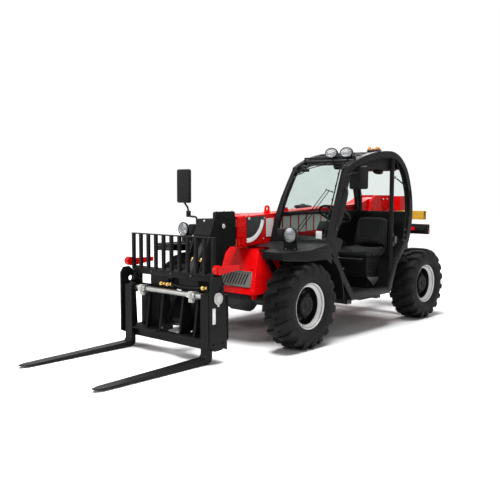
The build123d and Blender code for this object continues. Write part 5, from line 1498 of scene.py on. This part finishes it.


# painted shade: the darkest rubber sheet just behind the grille slots
shadeSheetLine = ((-0.3, 0.568), (0.3, 0.568), (0.24, 0.697), (-0.24, 0.697))
back = plate([onNose(x, z, 0.0006) for x, z in shadeSheetLine], onNose(0, 0.6, 0.0022) - onNose(0, 0.6, 0), 0)
place(back, "grille_backing", "gasket")
frameOut = onNose(0, 0.6, 0.01) - onNose(0, 0.6, 0)
trimLine = ((-0.309, 0.56), (0.309, 0.56), (0.249, 0.705), (-0.249, 0.705))
trim = frameRing([onNose(x, z, 0.0005) for x, z in trimLine], 0.009, frameOut, 0.0015)
place(trim, "grille_trim", "grilleGrey")
spots = [onNose(x, 0.5, 0) + (onNose(0, 0.735, 0) - onNose(0, 0.5, 0)) for x in (-0.225, 0.225)]
spots += [onNose(-0.32, 0.535), onNose(0.32, 0.535)]
place(bolts(spots, onNose(0, 0.6, 1) - onNose(0, 0.6, 0), 0.008, 0.005), "nose_bolts", "red")
print("nose made")


# fittings for the sides, back and top
def touch(name, start, toward):
    # where a line from start first meets a node
    return bpy.data.objects[name].ray_cast(Vector(start), Vector(toward))[1]


# hood: pressed louvres on its side and back, and two latches
hoodShape = {"sideBlades": 9, "firstBlade": 0.98, "step": 0.066, "low": 0.79, "high": 1.03, "lip": 0.01}
blades = []
for n in range(hoodShape["sideBlades"]):
    behind = hoodShape["firstBlade"] + n * hoodShape["step"]
    foot = touch("engine_hood", at(-1.2, behind, hoodShape["low"]), (1, 0, 0))
    head = touch("engine_hood", at(-1.2, behind, hoodShape["high"]), (1, 0, 0))
    inner, outer = Vector((0.003, -0.022, 0)), Vector((-hoodShape["lip"], 0.018, 0))
    blades.append(plate([foot + inner, foot + outer, head + outer, head + inner], (-0.0015, -0.003, 0),
        0.001))
place(blades, "hood_side_louvres", "black", "hood")
slats = []
for n in range(7):
    z = 0.76 + 0.048 * n
    ends = [touch("engine_hood", at(x, 2.6, z), (0, -1, 0)) for x in (-0.64, -0.3)]
    inner, outer = Vector((0, -0.003, 0.016)), Vector((0, 0.009, -0.012))
    slats.append(plate([ends[0] + inner, ends[0] + outer, ends[1] + outer, ends[1] + inner],
        (0, 0.002, 0.002), 0.001))
place(slats, "hood_rear_louvres", "black", "hood")
latches = []
for behind in (0.7, 1.7):
    spot = touch("engine_hood", at(-1.2, behind, 0.9), (1, 0, 0))
    latches.append(shellBox(spot + Vector((-0.01, -0.022, -0.04)), spot + Vector((0.002, 0.022, 0.04)),
        0.005, 3, (0, 1), 0.003))
    latches.append(bar(spot + Vector((-0.008, 0, -0.026)), spot + Vector((-0.014, 0, -0.026)), 0.009, 24,
        0.002))
place(latches, "hood_latches", "cast", "hood", slot="black_paint")

# air pre-cleaner: a bowl with vanes under a domed cap
spot = footOf("air_precleaner")
bowl = turnedPiece([(0, 0), (0, 0.05), (0.018, 0.051), (0.022, 0.086), (0.028, 0.094), (0.034, 0.09),
    (0.036, 0)], spot, (0, 0, 1), 56)
cap = turnedPiece([(0.058, 0), (0.058, 0.106), (0.061, 0.1115), (0.078, 0.1115), (0.086, 0.106),
    (0.096, 0.07), (0.1, 0.03), (0.1085, 0.024), (0.1095, 0)], spot, (0, 0, 1), 56)
vanes = []
for n in range(18):
    a = 2 * pi * n / 18
    corners = ((0.04, 0.25, 0.033), (0.088, 0, 0.033), (0.088, 0, 0.06), (0.04, 0.25, 0.06))
    points = [spot + Vector((far * cos(a + on), far * sin(a + on), up)) for far, on, up in corners]
    vanes.append(plate(points, (0.002 * sin(a), -0.002 * cos(a), 0), 0))
cleaner = joined([bowl, cap] + vanes)
place(cleaner, "detail_precleaner", "plastic", "hood")
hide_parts("air_precleaner")


# cylinders: gland nut, ports and a pipe along the barrel
def lineOf(name, otherName):
    # middle and direction of a barrel, pointing to its rod
    points = [v.co for v in bpy.data.objects[name].data.vertices]
    middle = sum(points, Vector()) / len(points)
    syy = sum((p.y - middle.y) ** 2 for p in points)
    szz = sum((p.z - middle.z) ** 2 for p in points)
    syz = sum((p.y - middle.y) * (p.z - middle.z) for p in points)
    angle = 0.5 * atan2(2 * syz, syy - szz)
    along = Vector((0, cos(angle), sin(angle)))
    others = [v.co for v in bpy.data.objects[otherName].data.vertices]
    if (sum(others, Vector()) / len(others) - middle).dot(along) < 0:
        along = -along
    end = max((p - middle).dot(along) for p in points)
    rim = max(((p - middle) - along * (p - middle).dot(along)).length
        for p in points if (p - middle).dot(along) > end - 0.003)
    return middle, along, end, rim


for barrel, rod in (("lift_cylinder", "lift_rod"), ("tilt_cylinder", "tilt_rod")):
    middle, along, end, rim = lineOf(barrel, rod)
    mouth = middle + along * end
    nut = turnedPiece([(-0.03, rim - 0.004), (-0.03, rim + 0.005), (-0.026, rim + 0.006),
        (-0.006, rim + 0.006), (-0.001, rim + 0.003), (0.003, rim - 0.004), (0.003, rim * 0.62),
        (-0.006, rim * 0.62)], mouth, along, 48)
    place(nut, barrel + "_gland", "cast", barrel, slot="cast_metal")
    if barrel == "tilt_cylinder":  # its ports face down into the head, out of sight
        continue
    up = along.cross(Vector((1, 0, 0))).normalized()
    if up.z < 0:
        up = -up
    parts = []
    for share in (0.8, -0.45):
        foot = middle + along * end * share + up * (rim - 0.004)
        parts.append(bar(foot, foot + up * 0.022, 0.012, 24, 0.002))
        parts.append(bar(foot + up * 0.02, foot + up * 0.03, 0.009, 6, 0.001))
    place(parts, barrel + "_ports", "zinc", barrel)
    high, low = (middle + along * end * share + up * (rim + 0.022) for share in (0.8, -0.45))
    pipe = tube([high, high + up * 0.004 - along * 0.03, high - up * 0.008 - along * 0.08,
        low + along * 0.06 - up * 0.006, low + along * 0.02, low], 0.005)
    place(pipe, barrel + "_pipe", "steel", barrel)

# axles: a ring of cover bolts
for name, way in (("front_axle", -1), ("rear_axle", 1)):
    turns = [2 * pi * n / 10 for n in range(10)]
    spots = [touch(name, (0.095 * cos(a), way * 4, 0.428 + 0.095 * sin(a)), (0, -way, 0)) for a in turns]
    place(bolts(spots, (0, way, 0), 0.009, 0.007), name + "_cover_bolts", "cast", slot="cast_metal")

# a brace from each front fender down to the nose
for side, sign in bothSides:
    brace = plate([at(sign * 0.365, -0.15, 0.94), at(sign * 0.365, -0.085, 0.94),
        at(sign * 0.365, 0.105, 0.69), at(sign * 0.365, 0.045, 0.68)], (sign * 0.04, 0, 0), 0.006)
    place(brace, "fender_brace_" + side, "black")

# head: its hose guard covers only the left side, and its edges are softened
headCopy = nodeCopy("boom_inner")
cutAway(headCopy, block(at(-0.13, -0.52, 1.2405), at(0.06, -0.19, 1.36), 0))
settle(bevelled(flatter(headCopy, 1), 0.003, 2, 32), smooth=16)
place(headCopy, "detail_boom_inner", "black", "boom_extension")
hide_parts("boom_inner")

# fenders: the same sheets with softened edges
for side in ("left", "right"):
    name = "fender_" + side
    sheet = settle(bevelled(flatter(nodeCopy(name), 1), 0.016, 4, 30), smooth=40)
    place(sheet, "detail_" + name, "black")
    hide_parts(name)
print("side, back and top fittings made")
